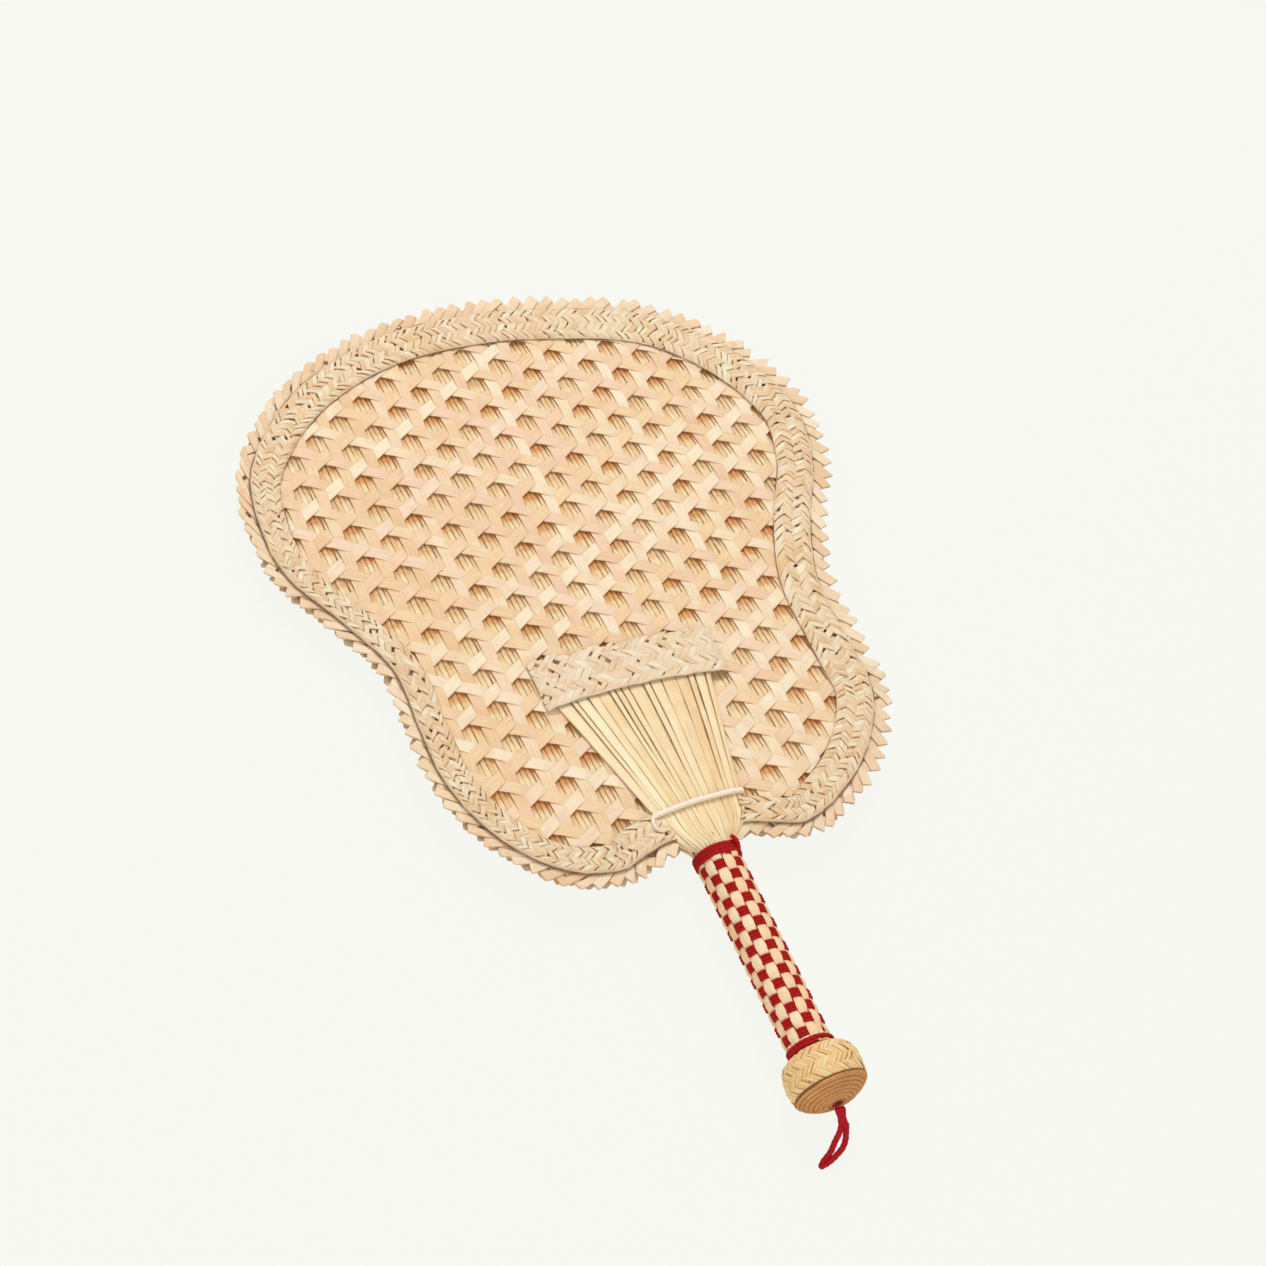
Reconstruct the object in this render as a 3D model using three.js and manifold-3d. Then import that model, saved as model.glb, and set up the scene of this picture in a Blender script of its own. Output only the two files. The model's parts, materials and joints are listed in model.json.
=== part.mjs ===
// A woven hand fan, in millimetres. Its blade is an open hexagonal weave on each face of a sheet
// of upright ribs, rimmed by a sewn plait on each face and by two toothed edgings between them.
// Flat splints run down from a plaited pocket on each face, close round a core at the neck and
// lie under a woven grip, which ends in a knob with a hanging loop of cord.
//
// The fan's own frame: x across the blade, y along the grip towards the blade's top, z out of the
// front face, with the grip's axis on x = 0, z = 0. At the end the fan is laid on its back, so
// that it rests on its knob and on the far end of its back plait.

import * as THREE from 'three';
import { mergeVertices } from 'three/addons/utils/BufferGeometryUtils.js';
import Module from 'manifold-3d';

const wasm = await Module();
wasm.setup();

// Room left between pieces that touch
const clearance = 0.3;

// The blade's outline through the tips of its teeth, counterclockwise from the neck
const bladeOutline = [
  [15, -154.2], [41.4, -160.2], [67.5, -149.2], [89.2, -129.8], [102.3, -106], [103.8, -75],
  [104.8, -50], [114, -25.5], [128.4, 1.5], [135.3, 30], [131.2, 52], [113.2, 81.3],
  [86.2, 102.2], [46.2, 113.2], [6.2, 117.3], [-37, 112.4], [-74.6, 96.2], [-100.5, 74.6],
  [-116.6, 50.2], [-121.6, 20], [-119, -3], [-105.3, -29], [-95, -52.5], [-95.3, -75],
  [-94.3, -104.5], [-82.5, -134], [-61.5, -154.8], [-37, -161.5], [-14, -155],
];

// The rim is broader by these shares on the right and at the top, and as much narrower opposite
const rimBroaderRight = 0.2;
const rimBroaderTop = 0.13;

// Distances in from the tips of the teeth
const toothDepth = 6.5;
const plaitOuterInset = 8.2;
const plaitInnerInset = 21.8;
const weaveInset = 14;

// Thicknesses of the blade's layers
const ribThickness = 1.2;
const weaveThickness = 1.2;
const plaitThickness = 2.2;
const plaitShoulder = 1;
const plaitBevel = 2.3;

// Open weave: upright strips, and two slanting families at 60 degrees to them
const stripWidth = 5.5;
const stripSpacing = 13;
const weaveStart = { x: -3.87, y: -2 };
const weaveDraw = 0.0003;
const weaveDrawLevel = -60;
const holeLimitInset = 20;

// Ribs between the two weaves, and the depth of the grooves between them
const ribPitch = 3.25;
const ribGroove = 0.45;

// Teeth of the edgings
const toothPitch = 7.8;
const toothLean = 0.35;

// Splints that run from the pocket to the knob: each end of the spray, and its arc on the core
const splintCount = 16;
const splintThickness = 0.5;
const splintGap = 0.35;
const sprayTop = { y: -74, centre: -1.4, half: 34.9 };
const sprayFoot = { y: -139, centre: 1.2, half: 17.6 };
const splintArc = 3;

// Pocket plait that holds the splints' upper ends
const pocket = { leftOverhang: 2, rightOverhang: 6.2, top: -61, bottom: -83, arch: 2.5 };
const pocketThickness = 2;
const pocketBevel = 1.2;

// White thread that ties the splints to the blade
const threadY = -135.8;
const threadTilt = 1;
const threadRadius = 0.6;
const threadBore = 1;
const threadBow = 1;

// Grip: levels along the handle, and radii of its core
const gripTopY = -157.6;
const gripBottomY = -241;
const shoulderY = gripTopY + 1.8;
const gatherY = gripTopY + 6.6;
const neckRadius = 6.5;
const coreRadius = 5.15;
const tongueHalfWidth = 12.5;

// Grip sleeve of straw warps, and the red cord wound round it
const warpCount = 13;
const sleeveThickness = 0.6;
const warpRelief = 0.25;
const weft = { loops: 15, halfHeight: 1.5, halfDepth: 0.6 };
const topCollar = { loops: 2, pitch: 2.2, halfHeight: 0.85, halfDepth: 0.9 };
const bottomCollar = { loops: 1, pitch: 2.1, halfHeight: 0.8, halfDepth: 0.7 };
const windingSteps = 12;
const windingSides = 5;

// Knob at the end of the grip
const knobRadius = 15.1;
const knobNeck = { radius: 9.4, drop: 0.2 };
const knobShoulder = { radius: 12.8, drop: 1.9 };
const knobUpper = { radius: 14.6, drop: 5.4 };
const knobWidestDrop = 10.3;
const knobFoot = { radius: 14.2, drop: 15.2 };
const knobWall = 1.2;
const socketDepth = 6.6;
const knobCoil = { loops: 4, radius: 1.1, pitch: 2.38, drop: 1.4 };

// Hanging loop: a doubled cord that leaves the knob through a bound neck
const cordRadius = 0.85;
const cordParting = 1.1;
const loopNeckRadius = 1.95;
const loopNeckLength = 4.6;
const loopNeckDroop = 0.6;
const knotRadius = 2.9;

// Stations down the middle of the loop below its neck: x, y, z and half the loop's width,
// from the mouth of the knob
const loopStations = [
  [-0.7, -6.2, -5.1, 1.3],
  [-1.4, -7.6, -7.3, 2],
  [-2.5, -8.9, -9.6, 2.4],
  [-3.9, -10, -11.7, 2.3],
  [-5.9, -11.1, -13.4, 1.9],
  [-8, -12, -14.4, 1.5],
];
const loopTip = [-9.9, -12.7, -14.9];

// Levels out from the blade's middle
const ribTop = ribThickness / 2;
const weaveBottom = ribTop + clearance;
const weaveTop = weaveBottom + weaveThickness;
const plaitBottom = weaveTop + clearance;
const plaitTop = plaitBottom + plaitThickness;
const splintTop = plaitBottom + splintThickness;
const pocketTop = splintTop + clearance + pocketThickness;
const pocketLeft = sprayTop.centre - sprayTop.half - pocket.leftOverhang;
const pocketRight = sprayTop.centre + sprayTop.half + pocket.rightOverhang;

// Radii of the grip's layers
const splintOuter = coreRadius + clearance + splintThickness;
const sleeveInner = splintOuter + clearance;
const sleeveOuter = sleeveInner + sleeveThickness;

// Levels along the knob
const knobTopY = gripBottomY - clearance;
const knobSeamY = knobTopY - knobFoot.drop;

// Shared shape tools

function signedVolume(geometry) {
  const at = geometry.attributes.position;
  const corner = (i) => new THREE.Vector3().fromBufferAttribute(at, geometry.index.getX(i));
  let volume = 0;
  for (let i = 0; i < geometry.index.count; i += 3) {
    volume += corner(i).dot(corner(i + 1).cross(corner(i + 2))) / 6;
  }
  return volume;
}

// Positions only, with shared points merged and the faces pointing out
function closed(geometry) {
  const copy = geometry.clone();
  copy.deleteAttribute('normal');
  copy.deleteAttribute('uv');
  const merged = mergeVertices(copy);
  if (signedVolume(merged) < 0) merged.index.array.reverse();
  return merged;
}

// The same piece on the other face of the blade
function reflected(geometry) {
  const copy = closed(geometry);
  copy.scale(1, 1, -1);
  return closed(copy);
}

function toSolid(geometry) {
  const merged = closed(geometry);
  return new wasm.Manifold(new wasm.Mesh({
    numProp: 3,
    vertProperties: merged.attributes.position.array,
    triVerts: new Uint32Array(merged.index.array),
  }));
}

function toGeometry(solid) {
  const mesh = solid.getMesh();
  const geometry = new THREE.BufferGeometry();
  geometry.setAttribute('position', new THREE.BufferAttribute(mesh.vertProperties, 3));
  geometry.setIndex(new THREE.BufferAttribute(mesh.triVerts, 1));
  return geometry;
}

const joined = (geometry, tool) => toGeometry(toSolid(geometry).add(toSolid(tool)));
const common = (geometry, tool) => toGeometry(toSolid(geometry).intersect(toSolid(tool)));
const cut = (geometry, ...tools) => toGeometry(
  tools.reduce((solid, tool) => solid.subtract(toSolid(tool)), toSolid(geometry)),
);

const blend = (from, to, share) => from + (to - from) * share;
const steps = (count) => [...Array(count).keys()];

// A skin through rings of points, closed on itself or capped at its two ends
function loft(rings, endless = false) {
  const sides = rings[0].length;
  const faces = [];
  steps(endless ? rings.length : rings.length - 1).forEach((i) => steps(sides).forEach((j) => {
    const next = ((i + 1) % rings.length) * sides;
    const a = i * sides + j;
    const b = i * sides + ((j + 1) % sides);
    const c = next + ((j + 1) % sides);
    const d = next + j;
    faces.push(a, b, c, a, c, d);
  }));
  const last = (rings.length - 1) * sides;
  for (let j = 1; j < sides - 1 && !endless; j++) {
    faces.push(0, j + 1, j, last, last + j, last + j + 1);
  }
  const geometry = new THREE.BufferGeometry();
  const points = rings.flat().flatMap((p) => [p.x, p.y, p.z]);
  geometry.setAttribute('position', new THREE.BufferAttribute(new Float32Array(points), 3));
  geometry.setIndex(faces);
  return closed(geometry);
}

// A flat piece between two levels, from an outline in the blade's plane and any holes in it
function plate(points, low, high, holes = []) {
  const shape = new THREE.Shape(points);
  shape.holes = holes.map((hole) => new THREE.Path(hole));
  const geometry = new THREE.ExtrudeGeometry(shape, { depth: high - low, bevelEnabled: false });
  return geometry.translate(0, 0, low);
}

const polygon = (corners, low, high) => plate(
  corners.map(([x, y]) => new THREE.Vector2(x, y)), low, high,
);

// A turned piece on the grip's axis, from a profile of [radius, y] points
function turned(profile, segments) {
  const points = profile.map(([radius, y]) => new THREE.Vector2(radius, y));
  return new THREE.LatheGeometry([...points, points[0].clone()], segments);
}

// A round cord along a smooth line
function tube(points, radius, sides, count) {
  const corners = steps(sides).map((i) => {
    const angle = (2 * Math.PI * i) / sides;
    return new THREE.Vector2(radius * Math.cos(angle), radius * Math.sin(angle));
  });
  const extrudePath = new THREE.CatmullRomCurve3(points);
  return new THREE.ExtrudeGeometry(new THREE.Shape(corners), { steps: count, extrudePath });
}

// Blade outline and the lines inside it

const tipLine = new THREE.CatmullRomCurve3(
  bladeOutline.map(([x, y]) => new THREE.Vector3(x, y, 0)), true, 'centripetal',
);
tipLine.arcLengthDivisions = 600;

function rimPoint(share, inset) {
  const along = tipLine.getTangentAt(share % 1);
  const at = tipLine.getPointAt(share % 1);
  const out = new THREE.Vector2(along.y, -along.x).normalize();
  const depth = inset * (1 + rimBroaderRight * out.x + rimBroaderTop * out.y);
  return new THREE.Vector2(at.x - depth * out.x, at.y - depth * out.y);
}

const rimSamples = 60;
const contour = (inset) => steps(rimSamples).map((i) => rimPoint(i / rimSamples, inset));
const weaveLine = contour(weaveInset);

function within(line, x, y) {
  let inside = false;
  line.forEach((a, i) => {
    const b = line[(i + 1) % line.length];
    const spans = (a.y > y) !== (b.y > y);
    if (spans && x < a.x + ((y - a.y) / (b.y - a.y)) * (b.x - a.x)) inside = !inside;
  });
  return inside;
}

// Spray of splints

function sprayAt(y) {
  const share = (sprayTop.y - y) / (sprayTop.y - sprayFoot.y);
  return {
    centre: blend(sprayTop.centre, sprayFoot.centre, share),
    half: blend(sprayTop.half, sprayFoot.half, share),
  };
}

function coreRadiusAt(y) {
  const share = THREE.MathUtils.clamp((shoulderY - y) / (shoulderY - gripTopY), 0, 1);
  return blend(neckRadius, coreRadius, share);
}

// 0 where the splints lie flat on the blade, 1 where they lie round the core
function gatheredAt(y) {
  const share = (sprayFoot.y - y) / (sprayFoot.y - gatherY);
  return THREE.MathUtils.clamp(share, 0, 1) ** 2;
}

const gatherLevels = [1 / 3, 2 / 3].map((share) => blend(sprayFoot.y, gatherY, share));

// A place on the middle surface of the front splints, by its share across the spray
function sprayPoint(share, y) {
  const gathered = gatheredAt(y);
  const spray = sprayAt(Math.max(y, sprayFoot.y));
  const radius = coreRadiusAt(y) + clearance + splintThickness / 2;
  const angle = share * splintArc;
  return new THREE.Vector3(
    blend(spray.centre + 2 * share * spray.half, radius * Math.sin(angle), gathered),
    y,
    blend(plaitBottom + splintThickness / 2, radius * Math.cos(angle), gathered),
  );
}

function frontSplint(number) {
  const levels = [
    sprayTop.y, sprayFoot.y, ...gatherLevels, gatherY, shoulderY, gripTopY, gripBottomY,
  ];
  return loft(levels.map((y) => {
    const [left, right] = [number, number + 1].map((n) => sprayPoint(n / splintCount - 0.5, y));
    const across = right.clone().sub(left);
    const half = (across.length() - splintGap) / 2;
    across.normalize();
    const out = new THREE.Vector3(-across.z, 0, across.x);
    const middle = left.add(right).divideScalar(2);
    return [[-1, -1], [1, -1], [1, 1], [-1, 1]].map(([a, b]) => middle.clone()
      .addScaledVector(across, a * half)
      .addScaledVector(out, (b * splintThickness) / 2));
  }));
}

// Layers of the blade

const drawnIn = (x, y) => x * (1 - weaveDraw * (y - weaveDrawLevel));

function hexagon(x, y) {
  const reach = (stripSpacing - stripWidth) / Math.sqrt(3);
  return steps(6).map((i) => {
    const angle = Math.PI / 6 + (i * Math.PI) / 3;
    const cornerY = y + reach * Math.sin(angle);
    return new THREE.Vector2(drawnIn(x + reach * Math.cos(angle), cornerY), cornerY);
  });
}

// Whether a place on the blade is hidden under the pocket or the spray
function covered(x, y) {
  const margin = (stripSpacing - stripWidth) / 2;
  const spray = sprayAt(Math.max(y, sprayFoot.y));
  const underSpray = y < pocket.bottom && Math.abs(x - spray.centre) < spray.half - margin;
  const underPocket = y < pocket.top - margin && y >= pocket.bottom
    && x > pocketLeft + margin && x < pocketRight - margin;
  return underSpray || underPocket;
}

function weaveHoles() {
  const limit = contour(holeLimitInset);
  const rowPitch = (2 * stripSpacing) / Math.sqrt(3);
  const reach = Math.ceil(Math.max(...limit.map((p) => p.length())) / stripSpacing) + 1;
  const places = steps(2 * reach + 1).flatMap((i) => steps(2 * reach + 1).map((j) => ({
    x: weaveStart.x + (i - reach) * stripSpacing,
    y: weaveStart.y + (j - reach + (Math.abs(i - reach) % 2) / 2) * rowPitch,
  })));
  const shown = places.filter(({ x, y }) => within(limit, drawnIn(x, y), y)
    && !covered(drawnIn(x, y), y));
  console.log(`front_weave: ${shown.length} gaps`);
  return shown.map(({ x, y }) => hexagon(x, y));
}

// The tying thread's two ways through the blade, just outside the spray
function threadPlace(side) {
  const y = threadY + side * threadTilt;
  const spray = sprayAt(y);
  return { x: spray.centre + side * (spray.half + clearance + threadRadius), y };
}

const threadBores = [-1, 1].map((side) => {
  const bore = new THREE.CylinderGeometry(threadBore, threadBore, 4 * plaitTop, 8);
  const { x, y } = threadPlace(side);
  return bore.rotateX(Math.PI / 2).translate(x, y, 0);
});

const frontWeave = () => cut(plate(weaveLine, weaveBottom, weaveTop, weaveHoles()), ...threadBores);
const backWeave = () => cut(plate(weaveLine, -weaveTop, -weaveBottom), ...threadBores);

function ribSheet() {
  const reach = Math.ceil(Math.max(...weaveLine.map((p) => Math.abs(p.x))) / ribPitch) + 4;
  const face = steps(2 * reach + 1).flatMap((i) => {
    const x = (i - reach) * ribPitch;
    return [new THREE.Vector2(x, ribTop), new THREE.Vector2(x + ribPitch / 2, ribTop - ribGroove)];
  });
  const section = new THREE.Shape([
    ...face, new THREE.Vector2(face.at(-1).x, -ribTop), new THREE.Vector2(face[0].x, -ribTop),
  ]);
  const high = Math.max(...weaveLine.map((p) => p.y)) + ribPitch;
  const low = Math.min(...weaveLine.map((p) => p.y)) - ribPitch;
  const slab = new THREE.ExtrudeGeometry(section, { depth: high - low, bevelEnabled: false });
  slab.rotateX(Math.PI / 2).translate(0, high, 0);
  const at = slab.attributes.position;
  for (let i = 0; i < at.count; i++) at.setX(i, drawnIn(at.getX(i), at.getY(i)));
  return cut(common(slab, plate(weaveLine, -weaveTop, weaveTop)), ...threadBores);
}

// The wedge that opens the rim at the neck, just outside the spray and the top collar
function neckWedge() {
  const highY = sprayFoot.y + plaitInnerInset;
  const lowY = gatherY - plaitInnerInset;
  const collarHalf = neckRadius + splintThickness + 4 * clearance + 2 * topCollar.halfDepth;
  const levels = [highY, sprayFoot.y, ...gatherLevels];
  const side = (sign) => [
    ...levels.map((y) => [sprayPoint(sign / 2, y).x + sign * clearance, y]),
    [sign * collarHalf, gatherY], [sign * collarHalf, lowY],
  ];
  return polygon([...side(1), ...side(-1).reverse()], -2 * plaitTop, 2 * plaitTop);
}

// A sewn plait round the front face, crowned, and open at the neck
function frontPlait() {
  const section = [
    [plaitOuterInset, plaitBottom],
    [plaitOuterInset, plaitBottom + plaitShoulder],
    [plaitOuterInset + plaitBevel, plaitTop],
    [plaitInnerInset - plaitBevel, plaitTop],
    [plaitInnerInset, plaitBottom + plaitShoulder],
    [plaitInnerInset, plaitBottom],
  ];
  const rings = steps(rimSamples).map((i) => section.map(([inset, z]) => {
    const at = rimPoint(i / rimSamples, inset);
    return new THREE.Vector3(at.x, at.y, z);
  }));
  return cut(loft(rings, true), neckWedge(), ...threadBores);
}

// A toothed edging behind the front plait, its teeth moved along by a share of their pitch
function frontEdging(shift) {
  const teeth = Math.round(tipLine.getLength() / toothPitch);
  const outer = steps(teeth).flatMap((i) => [
    rimPoint((i + shift) / teeth, toothDepth),
    rimPoint((i + shift + toothLean) / teeth, 0),
  ]);
  const inner = contour(weaveInset - clearance / (1 - rimBroaderRight - rimBroaderTop));
  return cut(plate(outer, clearance / 2, weaveTop, [inner.reverse()]), neckWedge());
}

// A plaited pocket over the splints' upper ends, down to the weave on either side of them
function frontPocket() {
  const reach = sprayTop.half + clearance;
  const foot = plaitBottom + pocketThickness / 2;
  const section = [
    [pocketLeft, plaitBottom], [sprayTop.centre - reach, plaitBottom],
    [sprayTop.centre - reach, splintTop + clearance],
    [sprayTop.centre + reach, splintTop + clearance],
    [sprayTop.centre + reach, plaitBottom], [pocketRight, plaitBottom],
    [pocketRight, foot], [pocketRight - pocketBevel, pocketTop],
    [pocketLeft + pocketBevel, pocketTop], [pocketLeft, foot],
  ].map(([x, z]) => new THREE.Vector2(x, -z));
  const bar = new THREE.ExtrudeGeometry(new THREE.Shape(section), {
    depth: pocket.top - pocket.bottom, bevelEnabled: false,
  });
  bar.rotateX(-Math.PI / 2).translate(0, pocket.bottom, 0);
  const archSteps = 8;
  const lower = steps(archSteps + 1).map((i) => {
    const share = i / archSteps;
    const rise = 4 * pocket.arch * share * (1 - share);
    return [blend(pocketLeft, pocketRight, share), pocket.bottom + rise];
  });
  const plan = [...lower, [pocketRight, pocket.top], [pocketLeft, pocket.top]];
  return common(bar, polygon(plan, 0, 2 * pocketTop));
}

// The thread goes over the front splints, through the blade and back over the rear ones
function bindingThread() {
  const face = splintTop + clearance + threadRadius;
  const bend = threadRadius + clearance;
  const ends = { left: threadPlace(-1), right: threadPlace(1) };
  const side = ({ x, y }, level) => [
    [x - Math.sign(x) * 2 * bend, y + threadBow / 4, level * face],
    [x - (Math.sign(x) * bend) / 2, y, level * (face - 0.3 * bend)],
    [x, y, level * (face - 1.8 * bend)],
  ];
  const path = [
    [clearance, threadY + threadBow, -face],
    ...side(ends.right, -1), [ends.right.x, ends.right.y, 0], ...side(ends.right, 1).reverse(),
    [0, threadY + threadBow, face],
    ...side(ends.left, 1), [ends.left.x, ends.left.y, 0], ...side(ends.left, -1).reverse(),
    [-clearance, threadY + threadBow, -face],
  ];
  return tube(path.map(([x, y, z]) => new THREE.Vector3(x, y, z)), threadRadius, 6, 48);
}

// Grip

// The core is a rod inside the grip, with a flat tongue between the splints up to the weave
function handleCore() {
  const middle = weaveLine.filter((p) => p.y < sprayFoot.y + plaitInnerInset
    && Math.abs(p.x) < 2 * tongueHalfWidth);
  const tongueTopY = Math.min(...middle.map((p) => p.y)) - clearance;
  const narrowY = blend(tongueTopY, gatherY, 0.9);
  const tongue = polygon([
    [-neckRadius / 2, gatherY], [neckRadius / 2, gatherY],
    [neckRadius, narrowY], [tongueHalfWidth, tongueTopY],
    [-tongueHalfWidth, tongueTopY], [-neckRadius, narrowY],
  ], -weaveTop, weaveTop);
  const levels = [...gatherLevels, gatherY].filter((y) => y < tongueTopY);
  const cone = [tongueTopY, ...levels].map(
    (y) => [blend(weaveTop, neckRadius, gatheredAt(y)), y],
  );
  const footY = knobTopY - socketDepth + clearance;
  const rod = turned([
    [0, tongueTopY], ...cone, [neckRadius, shoulderY], [coreRadius, gripTopY],
    [coreRadius, footY], [0, footY],
  ], 24);
  return joined(rod, tongue);
}

// Straw warps side by side round the grip
function gripSleeve() {
  const pointsPerWarp = 3;
  const count = warpCount * pointsPerWarp;
  return loft(steps(count).map((i) => {
    const angle = (2 * Math.PI * i) / count;
    const outer = sleeveOuter - (i % pointsPerWarp === 0 ? warpRelief : 0);
    const section = [
      [sleeveInner, gripTopY], [outer, gripTopY], [outer, gripBottomY], [sleeveInner, gripBottomY],
    ];
    return section.map(([radius, y]) => new THREE.Vector3(
      radius * Math.sin(angle), y, radius * Math.cos(angle),
    ));
  }), true);
}

// A cord wound round the grip's axis as one unbroken tube, with the gap that it keeps to itself
function winding(name, { loops, centreAt, halfDepth, halfHeight }) {
  const place = (turns, reach, lift) => {
    const { radius, y } = centreAt(turns);
    const angle = 2 * Math.PI * turns;
    return new THREE.Vector3(
      (radius + reach) * Math.sin(angle), y + lift, (radius + reach) * Math.cos(angle),
    );
  };
  const rings = steps(loops * windingSteps + 1).map((i) => steps(windingSides).map((k) => {
    const around = (2 * Math.PI * k) / windingSides + Math.PI / 2;
    return place(i / windingSteps, halfDepth * Math.cos(around), halfHeight * Math.sin(around));
  }));
  const gaps = rings.slice(windingSteps).flatMap((ring, i) => ring.flatMap(
    (a) => rings.slice(Math.max(i - 1, 0), i + 2).flat().map((b) => a.distanceTo(b)),
  ));
  if (loops > 1) console.log(`${name}: least gap to itself ${Math.min(...gaps).toFixed(2)} mm`);
  return loft(rings);
}

function gripWinding(name, layer, topY, inner) {
  return winding(name, {
    ...layer,
    centreAt: (turns) => ({
      radius: (inner + clearance) / Math.cos(Math.PI / windingSteps) + layer.halfDepth,
      y: topY - layer.halfHeight - layer.pitch * turns,
    }),
  });
}

const bottomCollarTopY = gripBottomY + bottomCollar.loops * bottomCollar.pitch
  + 2 * bottomCollar.halfHeight;

function gripWeft() {
  const length = gripTopY - bottomCollarTopY - 2 * clearance - 2 * weft.halfHeight;
  const layer = { ...weft, pitch: length / weft.loops };
  return gripWinding('grip_weft', layer, gripTopY - clearance / 2, sleeveOuter);
}

function topCollarCord() {
  const inner = neckRadius + clearance + splintThickness;
  return gripWinding('top_collar', topCollar, gatherY - clearance, inner);
}

function bottomCollarCord() {
  return gripWinding('bottom_collar', bottomCollar, bottomCollarTopY, sleeveOuter);
}

// Knob

// The knob's side as [radius, y] points from its neck to its seam
const knobSide = [
  [knobNeck.radius, knobTopY - knobNeck.drop],
  [knobShoulder.radius, knobTopY - knobShoulder.drop],
  [knobUpper.radius, knobTopY - knobUpper.drop],
  [knobRadius, knobTopY - knobWidestDrop],
  [knobFoot.radius, knobSeamY],
];

// The same side moved in by a distance
function knobSideWithin(distance) {
  const points = knobSide.map(([radius, y]) => new THREE.Vector2(radius, y));
  const heading = (i) => points[i + 1].clone().sub(points[i]).normalize();
  return points.map((point, i) => {
    const after = heading(Math.min(i, points.length - 2));
    const along = heading(Math.max(i - 1, 0)).add(after).normalize();
    const reach = distance / along.dot(after);
    return [point.x + along.y * reach, point.y - along.x * reach];
  });
}

function knobShell() {
  const bore = coreRadius + clearance;
  return turned([
    [bore, knobTopY], ...knobSide, ...knobSideWithin(knobWall).reverse(),
    [bore, knobTopY - knobWall],
  ], 24);
}

// The coil's middle line, from the seam in to the mouth
function coilAt(turns) {
  return {
    radius: knobFoot.radius - knobCoil.radius - clearance / 2 - knobCoil.pitch * turns,
    y: knobSeamY - clearance - knobCoil.radius - knobCoil.drop * turns,
  };
}

function knobCoilCord() {
  return winding('pommel_coil', {
    loops: knobCoil.loops,
    centreAt: coilAt,
    halfDepth: knobCoil.radius,
    halfHeight: knobCoil.radius,
  });
}

// Core of the knob: a socket for the handle, a chamber for the loop's knot and a way out for it
const mouthRadius = loopNeckRadius + clearance;
const chamberTopY = knobTopY - socketDepth;
const ledgeY = knobSeamY + knobWall;
const chamberRadius = knotRadius + clearance + 0.2;
const knotY = ledgeY + Math.sqrt((knotRadius + clearance) ** 2 - mouthRadius ** 2);

function knobCore() {
  const gap = knobWall + clearance;
  const socket = coreRadius + clearance;
  const slope = Math.hypot(knobCoil.pitch, knobCoil.drop);
  const off = (knobCoil.radius + clearance) / slope;
  const [outer, inner] = [0, knobCoil.loops].map(coilAt).map(
    ({ radius, y }) => [radius - off * knobCoil.drop, y + off * knobCoil.pitch],
  );
  return turned([
    [socket, knobTopY - gap], ...knobSideWithin(gap).slice(0, 4), outer, inner,
    [mouthRadius, inner[1]], [mouthRadius, ledgeY], [chamberRadius, ledgeY],
    [chamberRadius, chamberTopY], [socket, chamberTopY],
  ], 24);
}

// Hanging loop

const pivotY = coilAt(knobCoil.loops).y - knobCoil.radius - clearance;
const neckDirection = new THREE.Vector3(0, -1, -loopNeckDroop).normalize();

function loopKnot() {
  const stem = loopNeckRadius - clearance / 2;
  const stemShare = Math.asin(-Math.sqrt(knotRadius ** 2 - stem ** 2) / knotRadius);
  const ball = steps(6).map((i) => {
    const angle = blend(Math.PI / 2, stemShare, i / 5);
    return [knotRadius * Math.cos(angle), knotY + knotRadius * Math.sin(angle)];
  });
  const stemFoot = pivotY + loopNeckRadius + clearance;
  return turned([[0, knotY + knotRadius], ...ball.slice(1), [stem, stemFoot], [0, stemFoot]], 12);
}

// The neck turns about the middle of its round end
function loopNeck() {
  const dome = steps(4).map((i) => {
    const angle = (Math.PI / 2) * (1 - i / 3);
    return [loopNeckRadius * Math.cos(angle), loopNeckRadius * Math.sin(angle)];
  });
  const rod = turned([
    [0, loopNeckRadius], ...dome.slice(1), [loopNeckRadius, -loopNeckLength], [0, -loopNeckLength],
  ], 12);
  const along = new THREE.Quaternion().setFromUnitVectors(
    new THREE.Vector3(0, -1, 0), neckDirection,
  );
  return rod.applyQuaternion(along).translate(0, pivotY, 0);
}

function hangingLoop() {
  const mouth = new THREE.Vector3(0, pivotY, 0);
  const start = (side, reach) => mouth.clone()
    .addScaledVector(neckDirection, loopNeckLength + clearance + reach)
    .add(new THREE.Vector3(side * cordParting, 0, 0));
  const middles = loopStations.map(([x, y, z]) => new THREE.Vector3(x, y, z).add(mouth));
  const tip = new THREE.Vector3(...loopTip).add(mouth);
  const leg = (side) => middles.map((middle, i) => {
    const along = (middles[i + 1] ?? tip).clone().sub(middle);
    const across = new THREE.Vector3(-along.y, along.x, 0).normalize();
    return middle.clone().addScaledVector(across, side * loopStations[i][3]);
  });
  return tube([
    start(1, 0), start(1, 2 * cordRadius), ...leg(1), tip,
    ...leg(-1).reverse(), start(-1, 2 * cordRadius), start(-1, 0),
  ], cordRadius, 8, 40);
}

// Materials

function finish(color, roughness) {
  return new THREE.MeshStandardMaterial({ color, roughness, metalness: 0 });
}

const straw = () => finish(0xe6cda4, 0.75);
const paleStraw = () => finish(0xead7b6, 0.8);
const splintStraw = () => finish(0xe3bf80, 0.6);
const knobStraw = () => finish(0xc79c66, 0.8);
const redCord = () => finish(0xa8101c, 0.85);
const whiteThread = () => finish(0xe9e2d6, 0.8);

// Assembly

const fan = new THREE.Group();
const hung = new THREE.Group();

function add(group, name, geometry, material) {
  const mesh = new THREE.Mesh(closed(geometry), material);
  mesh.name = name;
  group.add(mesh);
}

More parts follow.
